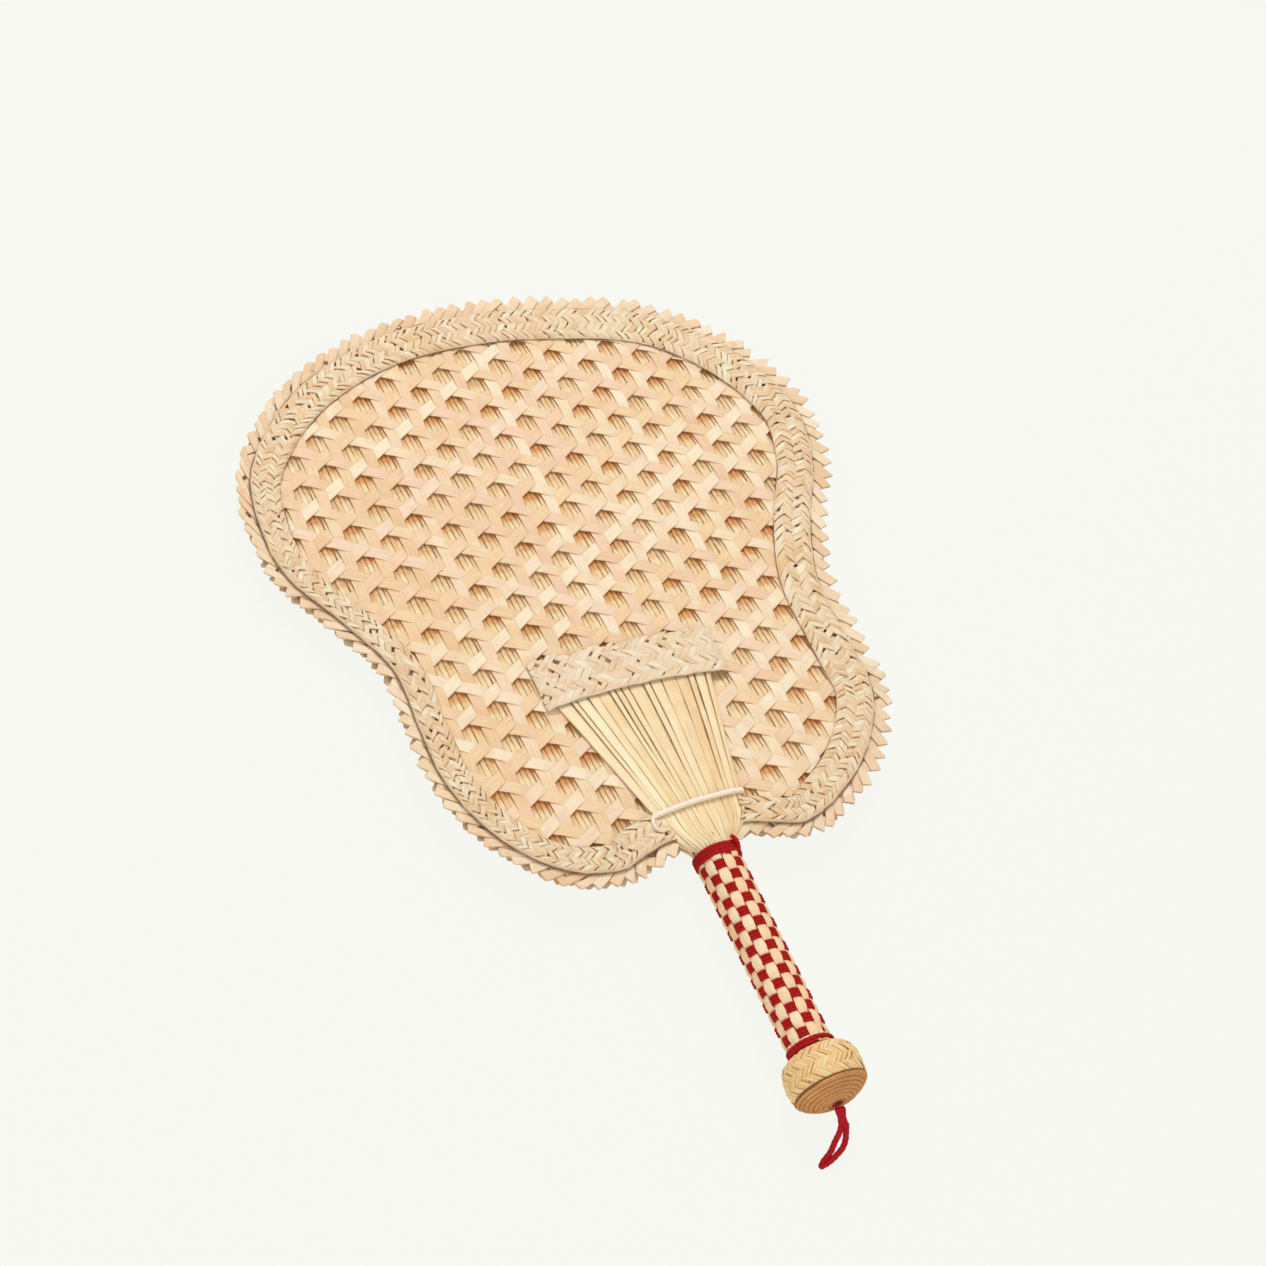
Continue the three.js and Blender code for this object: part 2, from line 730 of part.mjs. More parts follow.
const plaitRing = frontPlait();
const pocketBar = frontPocket();
add(fan, 'front_weave', frontWeave(), straw());
add(fan, 'rib_sheet', ribSheet(), splintStraw());
add(fan, 'back_weave', backWeave(), straw());
add(fan, 'front_edging', frontEdging(0), paleStraw());
add(fan, 'back_edging', reflected(frontEdging(0.5)), paleStraw());
add(fan, 'front_plait', plaitRing, paleStraw());
add(fan, 'back_plait', reflected(plaitRing), paleStraw());
add(fan, 'front_pocket', pocketBar, paleStraw());
add(fan, 'back_pocket', reflected(pocketBar), paleStraw());
steps(splintCount).forEach((i) => {
  const number = String(i + 1).padStart(2, '0');
  add(fan, `front_splint_${number}`, frontSplint(i), splintStraw());
  add(fan, `back_splint_${number}`, reflected(frontSplint(i)), splintStraw());
});
add(fan, 'binding_thread', bindingThread(), whiteThread());
add(fan, 'handle_core', handleCore(), splintStraw());
add(fan, 'grip_sleeve', gripSleeve(), straw());
add(fan, 'grip_weft', gripWeft(), redCord());
add(fan, 'top_collar', topCollarCord(), redCord());
add(fan, 'bottom_collar', bottomCollarCord(), redCord());
add(fan, 'pommel_shell', knobShell(), knobStraw());
add(fan, 'pommel_core', knobCore(), knobStraw());
add(fan, 'pommel_coil', knobCoilCord(), knobStraw());
add(fan, 'loop_knot', loopKnot(), redCord());
add(hung, 'loop_neck', loopNeck(), redCord());
add(hung, 'hanging_loop', hangingLoop(), redCord());

// Laid on its back: the knob's widest ring and the far end of the back plait touch the surface
const farY = Math.max(...contour(plaitOuterInset + plaitBevel).map((p) => p.y));
const widestY = knobTopY - knobWidestDrop;
const lean = Math.atan((knobRadius - plaitTop) / (farY - widestY));

const resting = new THREE.Group();
fan.rotation.x = -lean;
hung.rotation.x = -lean;
resting.add(fan);
resting.updateMatrixWorld(true);
const box = new THREE.Box3().setFromObject(resting, true);
resting.position.set(-(box.min.x + box.max.x) / 2, -(box.min.y + box.max.y) / 2, -box.min.z);
resting.add(hung);
resting.updateMatrixWorld(true);

export default resting;
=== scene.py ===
"""A woven hand fan, dressed round its construction.

The fan's own axes are used throughout, in millimetres: X to the right of the blade seen from its
front, Y from the pommel to the top, Z out of the front, with Z = 0 in the middle of the blade.
FanAxes turns them into the model's metres. A strip of plant fibre is a patch: a grid of points on
its upper face with a thickness below it.
"""

import json
import logging
import math
from dataclasses import dataclass
from dataclasses import field
from enum import Enum
from typing import Callable
from typing import Iterable

import bpy
import numpy as np
from mathutils import Matrix
from mathutils import Vector


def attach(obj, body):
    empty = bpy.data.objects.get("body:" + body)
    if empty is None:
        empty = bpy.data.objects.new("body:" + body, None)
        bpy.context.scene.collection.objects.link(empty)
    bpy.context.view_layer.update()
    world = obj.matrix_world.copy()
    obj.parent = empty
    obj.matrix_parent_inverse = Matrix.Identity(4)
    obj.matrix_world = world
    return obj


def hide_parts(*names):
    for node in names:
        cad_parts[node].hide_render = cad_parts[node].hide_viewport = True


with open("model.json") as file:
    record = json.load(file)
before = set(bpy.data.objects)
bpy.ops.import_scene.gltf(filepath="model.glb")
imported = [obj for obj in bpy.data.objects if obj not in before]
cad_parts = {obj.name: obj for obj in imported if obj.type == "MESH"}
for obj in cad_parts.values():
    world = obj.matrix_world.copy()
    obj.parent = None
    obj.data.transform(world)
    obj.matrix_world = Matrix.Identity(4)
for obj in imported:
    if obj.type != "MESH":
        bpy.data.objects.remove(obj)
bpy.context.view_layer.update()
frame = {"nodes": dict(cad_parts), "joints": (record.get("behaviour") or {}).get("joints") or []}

MM = 0.001
STRIP_MAP = "strip"
# The points' attribute that holds how much painted shade each one gets.
PAINTED_SHADE = "painted_shade"
OUTWARDS = np.array([0.0, 0.0, 1.0])
STRIP_CREASE = 38.0
CORD_CREASE = 60.0

log = logging.getLogger("hand_fan")


class Facing(Enum):
    """Which face of the blade a layer lies on."""

    FRONT = 1
    BACK = -1

    @property
    def word(self) -> str:
        """The face's name in a piece's name."""
        return self.name.lower()


def unit(vectors: np.ndarray) -> np.ndarray:
    """Vectors of length 1 along the given ones."""
    lengths = np.linalg.norm(vectors, axis=-1, keepdims=True)
    return vectors / np.maximum(lengths, 1e-12)


def blend(start: float, end: float, share: float) -> float:
    """A value part of the way from one to another."""
    return start + (end - start) * share


def smooth(share: np.ndarray) -> np.ndarray:
    """A gentle rise from 0 to 1."""
    held = np.clip(share, 0, 1)
    return held * held * (3 - 2 * held)


def length_of(line: np.ndarray) -> float:
    """How long a line of points is."""
    return float(np.linalg.norm(np.diff(line, axis=0), axis=1).sum())


def distances(line: np.ndarray) -> np.ndarray:
    """How far each point of a line lies from the first, measured along the line."""
    return np.concatenate([[0], np.cumsum(np.linalg.norm(np.diff(line, axis=0), axis=1))])


def round_handle(radius: np.ndarray, angle: np.ndarray, y: np.ndarray | float) -> np.ndarray:
    """Points round the handle, from their distance from its middle, their angle and their level."""
    return np.stack(np.broadcast_arrays(radius * np.sin(angle), y, radius * np.cos(angle)), -1)


def from_screen(red: int, green: int, blue: int) -> tuple[float, float, float, float]:
    """A colour as the shaders need it.

    Args:
        red: its red on a screen, from 0 to 255.
        green: its green.
        blue: its blue.

    Returns:
        Its linear values, and 1 for opaque.
    """
    values = [c / 255 for c in (red, green, blue)]
    linear = [c / 12.92 if c <= 0.04045 else ((c + 0.055) / 1.055) ** 2.4 for c in values]
    return (*linear, 1.0)


@dataclass(frozen=True)
class FanAxes:
    """Where the fan's own axes lie in the model."""

    right: np.ndarray
    up: np.ndarray
    front: np.ndarray
    middle: np.ndarray

    @classmethod
    def from_hinge(cls, hinge: dict, pivot_y: float) -> "FanAxes":
        """Works the axes out from the loop's hinge, which lies square to the blade.

        Args:
            hinge: the joint as the record gives it.
            pivot_y: the hinge's place along the fan, in millimetres.

        Returns:
            The fan's axes.
        """
        front = unit(np.array(hinge["axis"], float))
        right = np.array([1.0, 0.0, 0.0])
        up = np.cross(front, right)
        return cls(right, up, front, np.array(hinge["pos_m"], float) - up * pivot_y * MM)

    def place(self, points: np.ndarray) -> np.ndarray:
        """Points of the fan's own axes in the model, in metres."""
        return self.middle + MM * (np.asarray(points, float) @ np.array([self.right, self.up, self.front]))

    def turn(self, direction: Iterable[float]) -> Vector:
        """A direction of the fan's own axes in the model."""
        return Vector(np.asarray(direction, float) @ np.array([self.right, self.up, self.front]))


@dataclass
class Wander:
    """Small uneven changes along a strip, the same in each run."""

    seed: int
    rng: np.random.Generator = field(init=False)

    def __post_init__(self) -> None:
        """Starts the sequence."""
        self.rng = np.random.default_rng(self.seed)

    @classmethod
    def on_face(cls, seed: int, facing: Facing) -> "Wander":
        """The changes of one face's piece, which differ from those of the other face."""
        return cls(seed if facing is Facing.FRONT else seed + 1)

    def about(self, middle: float, spread: float) -> float:
        """A value near a middle one."""
        return float(middle + spread * self.rng.uniform(-1, 1))

    def along(self, places: np.ndarray, reach: float, wave: float) -> np.ndarray:
        """A slow drift along a line.

        Args:
            places: distances along the line.
            reach: the largest drift.
            wave: the length of its longest wave.

        Returns:
            The drift at each place.
        """
        drift = np.zeros_like(places)
        for order in (1.0, 1.7, 2.9):
            phase = self.rng.uniform(0, 2 * math.pi)
            drift += np.sin(2 * math.pi * order * places / wave + phase) / order
        return reach * drift / 1.8


class Patchwork:
    """Gathers strips of a piece and turns them into one mesh."""

    def __init__(self, name: str, axes: FanAxes, facing: Facing = Facing.FRONT) -> None:
        """Starts an empty piece.

        Args:
            name: the piece's name.
            axes: the fan's own axes.
            facing: the face of the blade that it lies on.
        """
        self.name = name
        self.axes = axes
        self.facing = facing
        self.points: list[np.ndarray] = []
        self.faces: list[list[int]] = []
        self.maps: list[np.ndarray] = []
        self.shade_amounts: list[np.ndarray] = []
        self.count = 0
        self.strips = 0

    def _add(
        self, rings: np.ndarray, line: np.ndarray, across: np.ndarray, depth: np.ndarray | float,
    ) -> None:
        """Adds a skin through rings of points, capped at both ends.

        Args:
            rings: the points, ring by ring.
            line: the middle line, which the strip map's lengths in centimetres follow.
            across: the place of each of a ring's points across the strip, from 0 to 1.
            depth: how much painted shade each ring gets where it lies recessed, from 0 to 1.
        """
        maps = np.empty((*rings.shape[:2], 2))
        maps[..., 0] = distances(line)[:, None] / 10
        maps[..., 1] = self.strips + across
        n, k = rings.shape[:2]
        first = self.count
        lower = np.arange(n - 1)[:, None] * k
        side = np.arange(k)[None, :]
        beside = (side + 1) % k
        quads = np.stack([lower + side, lower + beside, lower + k + beside, lower + k + side], -1)
        faces = (quads.reshape(-1, 4) + first).tolist()
        faces.append([first + i for i in range(k)][::-1])
        faces.append([first + (n - 1) * k + i for i in range(k)])
        middle = rings.mean(axis=1, keepdims=True)
        spokes = rings - middle
        ahead = np.gradient(middle[:, 0], axis=0)
        area = np.cross(spokes, np.roll(spokes, -1, axis=1)).sum(axis=1)
        if float((area * ahead).sum()) < 0:
            faces = [face[::-1] for face in faces]
        self.faces += faces
        self.points.append(rings.reshape(-1, 3))
        self.maps.append(maps.reshape(-1, 2))
        self.shade_amounts.append(np.repeat(np.broadcast_to(depth, n), k))
        self.count += n * k
        self.strips += 1

    def lay(
        self, top: np.ndarray, out: np.ndarray, thickness: float, depth: np.ndarray | float = 0.0,
    ) -> None:
        """Adds one flat strip.

        Args:
            top: points of its upper face, as rings by columns by 3.
            out: directions out of that face, of the same shape or one for each ring.
            thickness: its thickness.
            depth: how much painted shade each ring gets where it lies recessed, from 0 to 1.
        """
        below = top - thickness * out
        rings = np.concatenate([top, below[:, ::-1]], axis=1)
        across = np.linspace(0.05, 0.95, top.shape[1])
        self._add(rings, top.mean(axis=1), np.concatenate([across, across[::-1]]), depth)

    def lay_kept(
        self, kept: np.ndarray, least: int, top: np.ndarray, out: np.ndarray, thickness: float,
        depth: np.ndarray | float = 0.0,
    ) -> None:
        """Adds the stretches of a flat strip that stay.

        Args:
            kept: which rings stay.
            least: the fewest rings of a stretch that is worth adding.
            top: points of its upper face, as rings by columns by 3.
            out: directions out of that face, or one for all.
            thickness: its thickness.
            depth: how much painted shade each ring gets where it lies recessed, from 0 to 1.
        """
        out = np.broadcast_to(out, top.shape)
        depth = np.broadcast_to(depth, len(top))
        for run in runs_of(kept, least):
            self.lay(top[run], out[run], thickness, depth[run])

    def wind(
        self, path: np.ndarray, radius: float, sides: int = 12, plies: int = 0, lay: float = 1.0,
        groove: float = 0.0, widen: np.ndarray | float = 1.0, depth: float = 0.0,
    ) -> None:
        """Adds one cord.

        Args:
            path: its middle line.
            radius: its radius.
            sides: the points of each ring round it.
            plies: the yarns that it is twisted from, or 0 for a plain one.
            lay: the length of one full twist.
            groove: the depth of the grooves between the yarns, as a share of the radius.
            widen: a factor on the radius at each point of the line.
            depth: how much painted shade it gets where it lies recessed, from 0 to 1.
        """
        ahead = unit(np.gradient(path, axis=0))
        side = np.cross(ahead[0], OUTWARDS)
        if np.linalg.norm(side) < 0.1:
            side = np.cross(ahead[0], [0.0, 1.0, 0.0])
        side = unit(side)
        along = distances(path)
        widen = np.broadcast_to(widen, len(path))
        angles = 2 * np.pi * np.arange(sides) / sides
        rings = np.empty((len(path), sides, 3))
        for i, point in enumerate(path):
            side = unit(side - ahead[i] * np.dot(side, ahead[i]))
            up = np.cross(ahead[i], side)
            phase = plies * (angles - 2 * np.pi * along[i] / lay) / 2
            reach = radius * (1 - groove * (1 - np.abs(np.cos(phase)))) * widen[i]
            spoke = np.cos(angles)[:, None] * side + np.sin(angles)[:, None] * up
            rings[i] = point + reach[:, None] * spoke
        around = 0.05 + 0.9 * np.abs(np.linspace(-1, 1, sides, endpoint=False))
        self._add(rings, rings.mean(axis=1), around, depth)

    def build(self, crease: float = STRIP_CREASE) -> bpy.types.Object:
        """Makes the piece.

        Args:
            crease: the angle in degrees past which an edge stays sharp.

        Returns:
            The new object.
        """
        points = np.concatenate(self.points)
        faces = self.faces
        if self.facing is Facing.BACK:
            points = points * (1, 1, -1)
            faces = [face[::-1] for face in faces]
        mesh = bpy.data.meshes.new(self.name)
        mesh.from_pydata(self.axes.place(points).tolist(), [], faces)
        layer = mesh.uv_layers.new(name=STRIP_MAP)
        corners = np.empty(len(mesh.loops), np.int32)
        mesh.loops.foreach_get("vertex_index", corners)
        layer.data.foreach_set("uv", np.concatenate(self.maps)[corners].astype(np.float32).ravel())
        # Each point's amount of painted shade, which the finishes mix in as a darker colour.
        painted_shade = mesh.attributes.new(PAINTED_SHADE, "FLOAT", "POINT")
        painted_shade.data.foreach_set("value", np.concatenate(self.shade_amounts).astype(np.float32))
        piece = bpy.data.objects.new(self.name, mesh)
        bpy.context.scene.collection.objects.link(piece)
        select_only(piece)
        bpy.ops.object.shade_smooth_by_angle(angle=math.radians(crease))
        return piece


def select_only(piece: bpy.types.Object) -> None:
    """Makes a piece the only selected and the active one.

    Args:
        piece: the piece.
    """
    bpy.ops.object.select_all(action="DESELECT")
    piece.select_set(True)
    bpy.context.view_layer.objects.active = piece


def even_steps(points: np.ndarray, step: float) -> np.ndarray:
    """The same line with points at even distances.

    Args:
        points: the line.
        step: about how far apart its new points lie.

    Returns:
        The new points, with both ends where they were.
    """
    along = distances(points)
    wanted = np.linspace(0, along[-1], max(int(round(along[-1] / step)), 2) + 1)
    return np.stack([np.interp(wanted, along, points[:, k]) for k in range(points.shape[1])], -1)


def smooth_line(corners: np.ndarray, closed: bool, pieces: int = 60) -> np.ndarray:
    """A curve through points, with its pace set by the square root of their distances.

    Args:
        corners: the points.
        closed: whether the curve comes back to its start.
        pieces: how many steps lie between two points.

    Returns:
        Points along the curve.
    """
    if closed:
        before, after = np.roll(corners, 1, axis=0), np.roll(corners, -1, axis=0)
        beyond = np.roll(corners, -2, axis=0)
        starts = corners
    else:
        first = 2 * corners[0] - corners[1]
        last = 2 * corners[-1] - corners[-2]
        padded = np.concatenate([[first], corners, [last]])
        before, starts, after, beyond = padded[:-3], padded[1:-2], padded[2:-1], padded[3:]
    pace = [
        np.maximum(np.linalg.norm(b - a, axis=1, keepdims=True), 1e-9) ** 0.5
        for a, b in ((before, starts), (starts, after), (after, beyond))
    ]
    leaving = ((starts - before) / pace[0] - (after - before) / (pace[0] + pace[1])
               + (after - starts) / pace[1]) * pace[1]
    coming = ((after - starts) / pace[1] - (beyond - starts) / (pace[1] + pace[2])
              + (beyond - after) / pace[2]) * pace[1]
    share = (np.arange(pieces) / pieces)[None, :, None]
    a, b = starts[:, None], after[:, None]
    m, k = leaving[:, None], coming[:, None]
    curve = (a + m * share + (-3 * a + 3 * b - 2 * m - k) * share ** 2
             + (2 * a - 2 * b + m + k) * share ** 3)
    points = curve.reshape(-1, corners.shape[1])
    end = corners[:1] if closed else corners[-1:]
    return np.concatenate([points, end])


@dataclass
class Rim:
    """The blade's outline through its tooth tips, and the lines inside it."""

    tips: tuple[tuple[float, float], ...] = (
        (15, -154.2), (41.4, -160.2), (67.5, -149.2), (89.2, -129.8), (102.3, -106), (103.8, -75),
        (104.8, -50), (114, -25.5), (128.4, 1.5), (135.3, 30), (131.2, 52), (113.2, 81.3),
        (86.2, 102.2), (46.2, 113.2), (6.2, 117.3), (-37, 112.4), (-74.6, 96.2), (-100.5, 74.6),
        (-116.6, 50.2), (-121.6, 20), (-119, -3), (-105.3, -29), (-95, -52.5), (-95.3, -75),
        (-94.3, -104.5), (-82.5, -134), (-61.5, -154.8), (-37, -161.5), (-14, -155),
    )
    broader_right: float = 0.2
    broader_top: float = 0.13
    steps: int = 3000
    line: np.ndarray = field(init=False)
    ahead: np.ndarray = field(init=False)
    length: float = field(init=False)

    def __post_init__(self) -> None:
        """Measures the outline."""
        dense = smooth_line(np.array(self.tips, float), closed=True)
        self.length = length_of(dense)
        self.line = even_steps(dense, self.length / self.steps)
        turned = np.concatenate([self.line[-2:-1], self.line, self.line[1:2]])
        self.ahead = unit(turned[2:] - turned[:-2])

    def at(self, share: np.ndarray, inset: np.ndarray) -> np.ndarray:
        """Points at shares of the way round and at depths inside the tooth tips.

        Args:
            share: the shares, of any shape.
            inset: the depths, of the same shape or one for all.

        Returns:
            The points, with a last axis of 2.
        """
        place = (np.asarray(share, float) % 1) * (len(self.line) - 1)
        index = np.arange(len(self.line))
        x, y = (np.interp(place, index, self.line[:, k]) for k in (0, 1))
        along_x, along_y = (np.interp(place, index, self.ahead[:, k]) for k in (0, 1))
        depth = inset * (1 + self.broader_right * along_y - self.broader_top * along_x)
        return np.stack([x - depth * along_y, y + depth * along_x], -1)

    def contour(self, inset: float, count: int = 240) -> np.ndarray:
        """A closed line at one depth."""
        return self.at(np.arange(count) / count, inset)


def inside(line: np.ndarray, points: np.ndarray) -> np.ndarray:
    """Which points lie inside a closed line.

    Args:
        line: the line's points.
        points: the points to test, with a last axis of 2.

    Returns:
        True for each point inside.
    """
    x, y = points[..., 0], points[..., 1]
    found = np.zeros(x.shape, bool)
    for (ax, ay), (bx, by) in zip(line, np.roll(line, -1, axis=0)):
        spans = (ay > y) != (by > y)
        rise = by - ay if abs(by - ay) > 1e-12 else 1e-12
        found ^= spans & (x < ax + (y - ay) / rise * (bx - ax))
    return found


def runs_of(kept: np.ndarray, least: int) -> list[slice]:
    """Stretches of a line where a test holds."""
    edges = np.flatnonzero(np.diff(np.concatenate([[0], kept.astype(int), [0]])))
    return [slice(a, b) for a, b in zip(edges[::2], edges[1::2]) if b - a >= least]


@dataclass
class Levels:
    """Heights of the blade's layers above its middle."""

    weave: float = 1.5
    edging_low: float = 0.75
    edging_high: float = 1.4
    plait: float = 3.35
    pocket: float = 4.1


@dataclass
class OpenWeave:
    """The outer weave: flat strips in three directions, each over one of the others and under one."""

    rim: Rim
    levels: Levels
    axes: FanAxes
    spacing: float = 13.0
    width: float = 4.95
    thickness: float = 0.36
    crown: float = 0.1
    swing: float = 0.3
    steep: float = 1.6
    start: tuple[float, float] = (-3.87, -2.0)
    draw: float = 0.0003
    draw_level: float = -60.0
    edge_inset: float = 15.0
    step: float = 1.3
    field_reach: float = 180.0
    strip_reach: float = 190.0

    def drawn_in(self, points: np.ndarray) -> np.ndarray:
        """Points as the weave lies, a little narrower towards the top.

        Args:
            points: the points, with x and y first on their last axis.

        Returns:
            The moved points.
        """
        moved = points.copy()
        moved[..., 0] *= 1 - self.draw * (points[..., 1] - self.draw_level)
        return moved

    def build(self, facing: Facing) -> bpy.types.Object:
        """Weaves one face.

        Args:
            facing: the face of the blade.

        Returns:
            The woven piece.
        """
        book = Patchwork(f"{facing.word}_woven_strips", self.axes, facing)
        wander = Wander.on_face(11, facing)
        line = self.rim.contour(self.edge_inset)
        turns = [math.radians(a) for a in (0, 60, 120)]
        reach = math.ceil(self.field_reach / self.spacing)
        repeat = self.spacing / math.sin(math.radians(60))
        columns = np.array([-1, -0.45, 0.45, 1])
        places = np.arange(-self.strip_reach, self.strip_reach, self.step)
        for family, turn in enumerate(turns):
            normal = np.array([math.cos(turn), math.sin(turn)])
            along = np.array([-normal[1], normal[0]])
            other = turns[(family + 2) % 3]
            crossed = np.array([math.cos(other), math.sin(other)])
            for number in range(-reach, reach):
                offset = (number + 0.5) * self.spacing
                over = (self.spacing / 2 - offset * normal @ crossed) / (along @ crossed)
                wave = np.cos(2 * np.pi * (places - over) / repeat)
                height = self.swing * np.tanh(self.steep * wave) / math.tanh(self.steep)
                drift = wander.along(places, reach=0.22, wave=70)
                narrow = wander.about(1, spread=0.04)
                half = self.width / 2 * (narrow + wander.along(places, reach=0.025, wave=40))
                flat = (np.array(self.start) + along * places[:, None, None]
                        + normal * (offset + drift[:, None] + half[:, None] * columns)[..., None])
                level = self.levels.weave + self.thickness / 2 + wander.about(0, spread=0.03)
                lift = level + height[:, None]
                top = np.dstack([self.drawn_in(flat), lift + self.crown * (1 - columns ** 2)])
                kept = inside(line, top[:, 1:3, :2].mean(axis=1))
                book.lay_kept(kept, 6, top, OUTWARDS, self.thickness)
        return book.build()


@dataclass
class SlatLayer:
    """The close upright slats between the two open weaves."""

    rim: Rim
    weave: OpenWeave
    axes: FanAxes
    pitch: float = 2.17
    gap: float = 0.27
    thickness: float = 0.35
    level: float = 0.62
    bulge: float = 0.42
    crown: float = 0.34
    edge_inset: float = 15.0
    step: float = 1.9
    low_y: float = -170.0
    high_y: float = 130.0
    beside: int = 62
    narrowing: float = 0.07
    shade: float = 0.75

    def build(self, facing: Facing) -> bpy.types.Object:
        """Lays one face's slats side by side, each bulging out at the foot of every opening.

        Args:
            facing: the face of the blade.

        Returns:
            The piece.
        """
        book = Patchwork(f"{facing.word}_inner_slats", self.axes, facing)
        wander = Wander.on_face(21, facing)
        line = self.rim.contour(self.edge_inset)
        columns = np.array([-1, 0, 1])
        places = np.arange(self.low_y, self.high_y, self.step)
        repeat = self.weave.spacing / math.sin(math.radians(60))
        shift = 0 if facing is Facing.FRONT else self.pitch / 2
        for number in range(-self.beside, self.beside + 1):
            middle = number * self.pitch + shift + wander.about(0, spread=0.12)
            middle = middle + wander.along(places, reach=0.12, wave=90)
            half = (self.pitch - self.gap) / 2 * wander.about(1, spread=0.1)
            row = round((number * self.pitch - self.weave.start[0]) / self.weave.spacing)
            phase = (places - self.weave.start[1]) / repeat - (row % 2) / 2
            swell = np.sin(2 * np.pi * phase)
            wave = -self.bulge * wander.about(1, spread=0.3) * swell
            x = middle[:, None] + half * (1 - self.narrowing * swell)[:, None] * columns
            y = np.repeat(places[:, None], len(columns), axis=1)
            flat = self.weave.drawn_in(np.dstack([x, y]))
            level = self.level + wander.about(0, spread=0.08)
            rise = level + wave[:, None] + self.crown * (1 - columns ** 2)
            top = np.dstack([flat, rise])
            kept = inside(line, top[:, 1:3, :2].mean(axis=1))
            # Painted shade on the slats towards the top of each opening, where they sink under the strip
            # above and its shadow falls; none at the foot, where they bulge out into the light.
            book.lay_kept(kept, 3, top, OUTWARDS, self.thickness, smooth(0.5 + self.shade * swell))
        return book.build()


@dataclass
class FlatPlait:
    """A flat plait as a pattern of strips that pass from one edge to the other.

    It is laid out on a plane of distances along it and across it, and a mapping takes that plane
    to where the plait lies.
    """

    width: float
    length: float
    pitch: float
    slant: float
    strip: float
    rows: int
    swing: float
    thickness: float = 0.42
    crown: float = 0.22
    rings: int = 13
    endless: bool = False
    untidy: float = 0.25
    hook: float = 0.6
    ragged: float = 0.0
    borders: tuple[int, ...] = (-1, 1)
    border: float = 1.3
    border_lift: float = 0.75
    border_crown: float = 1.2
    border_tilt: float = 0.5
    steep: float = 2.2

    def weave(
        self, book: Patchwork, wander: Wander,
        lie: Callable[[np.ndarray, np.ndarray, np.ndarray], np.ndarray],
        keep: Callable[[np.ndarray], np.ndarray] | None = None,
    ) -> None:
        """Adds the plait's strips to a piece.

        Args:
            book: the piece.
            wander: its uneven changes.
            lie: takes distances along, across and out to points of the fan.
            keep: tells which points of the fan stay, where part of the plait is left out.
        """
        count = round(self.length / self.pitch)
        pitch = self.length / count
        columns = np.array([-1, -0.5, 0.5, 1])

        def add(along: np.ndarray, across: np.ndarray, out: np.ndarray) -> None:
            """Adds one strip of the plait where it stays.

            Args:
                along: distances along the plait.
                across: distances across it.
                out: distances out of it.
            """
            top = lie(along, across, out)
            below = lie(along, across, out - self.thickness)
            kept = np.ones(len(top), bool) if keep is None else keep(top[:, 1:3].mean(axis=1))
            book.lay_kept(kept, 3, top, top - below, 1.0)

        for side in self.borders:
            along = np.linspace(0, self.length, int(self.length / 2) + 1)[:, None]
            along = along * np.ones_like(columns)
            drift = wander.along(along[:, :1], reach=0.35, wave=17)
            across = side * (self.width / 2 - self.border / 2) + drift + self.border / 2 * columns
            out = (self.border_lift * self.swing + self.thickness / 2
                   + self.border_crown * self.crown * (1 - columns ** 2) + self.border_tilt * drift)
            add(along, across, out)
        share = np.linspace(0, 1, self.rings)[:, None]
        reach = 0 if self.endless else math.ceil(self.slant / pitch)
        for sense in (1, -1):
            for number in range(-reach, count + reach):
                start = number * pitch + wander.about(0, spread=self.untidy)
                half = self.strip / 2 * wander.about(1, spread=0.2)
                slant = self.slant + wander.about(0, spread=2 * self.untidy)
                curl = self.hook * wander.about(1, spread=0.3) / (2 * math.pi)
                bent = share + curl * np.sin(2 * np.pi * share)
                run = bent if sense > 0 else 1 - bent
                along = start + slant * run + half * columns
                end = 1 + wander.about(0, spread=self.ragged) / self.width
                across = (share * end - 0.5) * self.width * np.ones_like(columns)
                over = np.sin(self.rows * np.pi * share) * sense
                height = self.swing * np.tanh(self.steep * over) + wander.about(0, spread=0.12)
                add(along, across, height + self.thickness / 2 + self.crown * (1 - columns ** 2))


@dataclass
class Spray:
    """Where the splints lie: a fan between the pocket and the neck, drawn round the core below."""

    top_y: float = -74.0
    top_centre: float = -1.4
    top_half: float = 34.9
    foot_y: float = -139.0
    foot_centre: float = 1.2
    foot_half: float = 17.6
    gather_y: float = -153.4
    shoulder_y: float = -156.6
    grip_y: float = -157.6
    neck_radius: float = 7.15
    core_radius: float = 6.0
    arc: float = 3.0
    level: float = 2.4

    def breadth(self, y: np.ndarray | float) -> tuple[np.ndarray | float, np.ndarray | float]:
        """The spray's middle and half its width at a level above its foot."""
        down = (self.top_y - y) / (self.top_y - self.foot_y)
        return blend(self.top_centre, self.foot_centre, down), blend(self.top_half, self.foot_half, down)

    def at(self, share: np.ndarray, y: np.ndarray) -> np.ndarray:
        """Points on the splints' under surface, by their share across and their level.

        Args:
            share: from -0.5 at the left edge to 0.5 at the right one.
            y: the levels, of the same shape.

        Returns:
            The points.
        """
        centre, half = self.breadth(np.maximum(y, self.foot_y))
        drawn = np.clip((self.foot_y - y) / (self.foot_y - self.gather_y), 0, 1) ** 2
        narrowing = np.clip((self.shoulder_y - y) / (self.shoulder_y - self.grip_y), 0, 1)
        radius = blend(self.neck_radius, self.core_radius, narrowing)
        angle = share * self.arc
        x = blend(centre + 2 * share * half, radius * np.sin(angle), drawn)
        z = blend(self.level, radius * np.cos(angle), drawn)
        return np.stack([x, y, z], -1)

    def out(self, share: np.ndarray, y: np.ndarray) -> np.ndarray:
        """Directions out of that surface.

        Args:
            share: from -0.5 at the left edge to 0.5 at the right one.
            y: the levels, of the same shape.

        Returns:
            The directions, each of length 1.
        """
        small = 0.01
        across = self.at(share + small, y) - self.at(share - small, y)
        along = self.at(share, y + small) - self.at(share, y - small)
        return unit(np.cross(across, along))


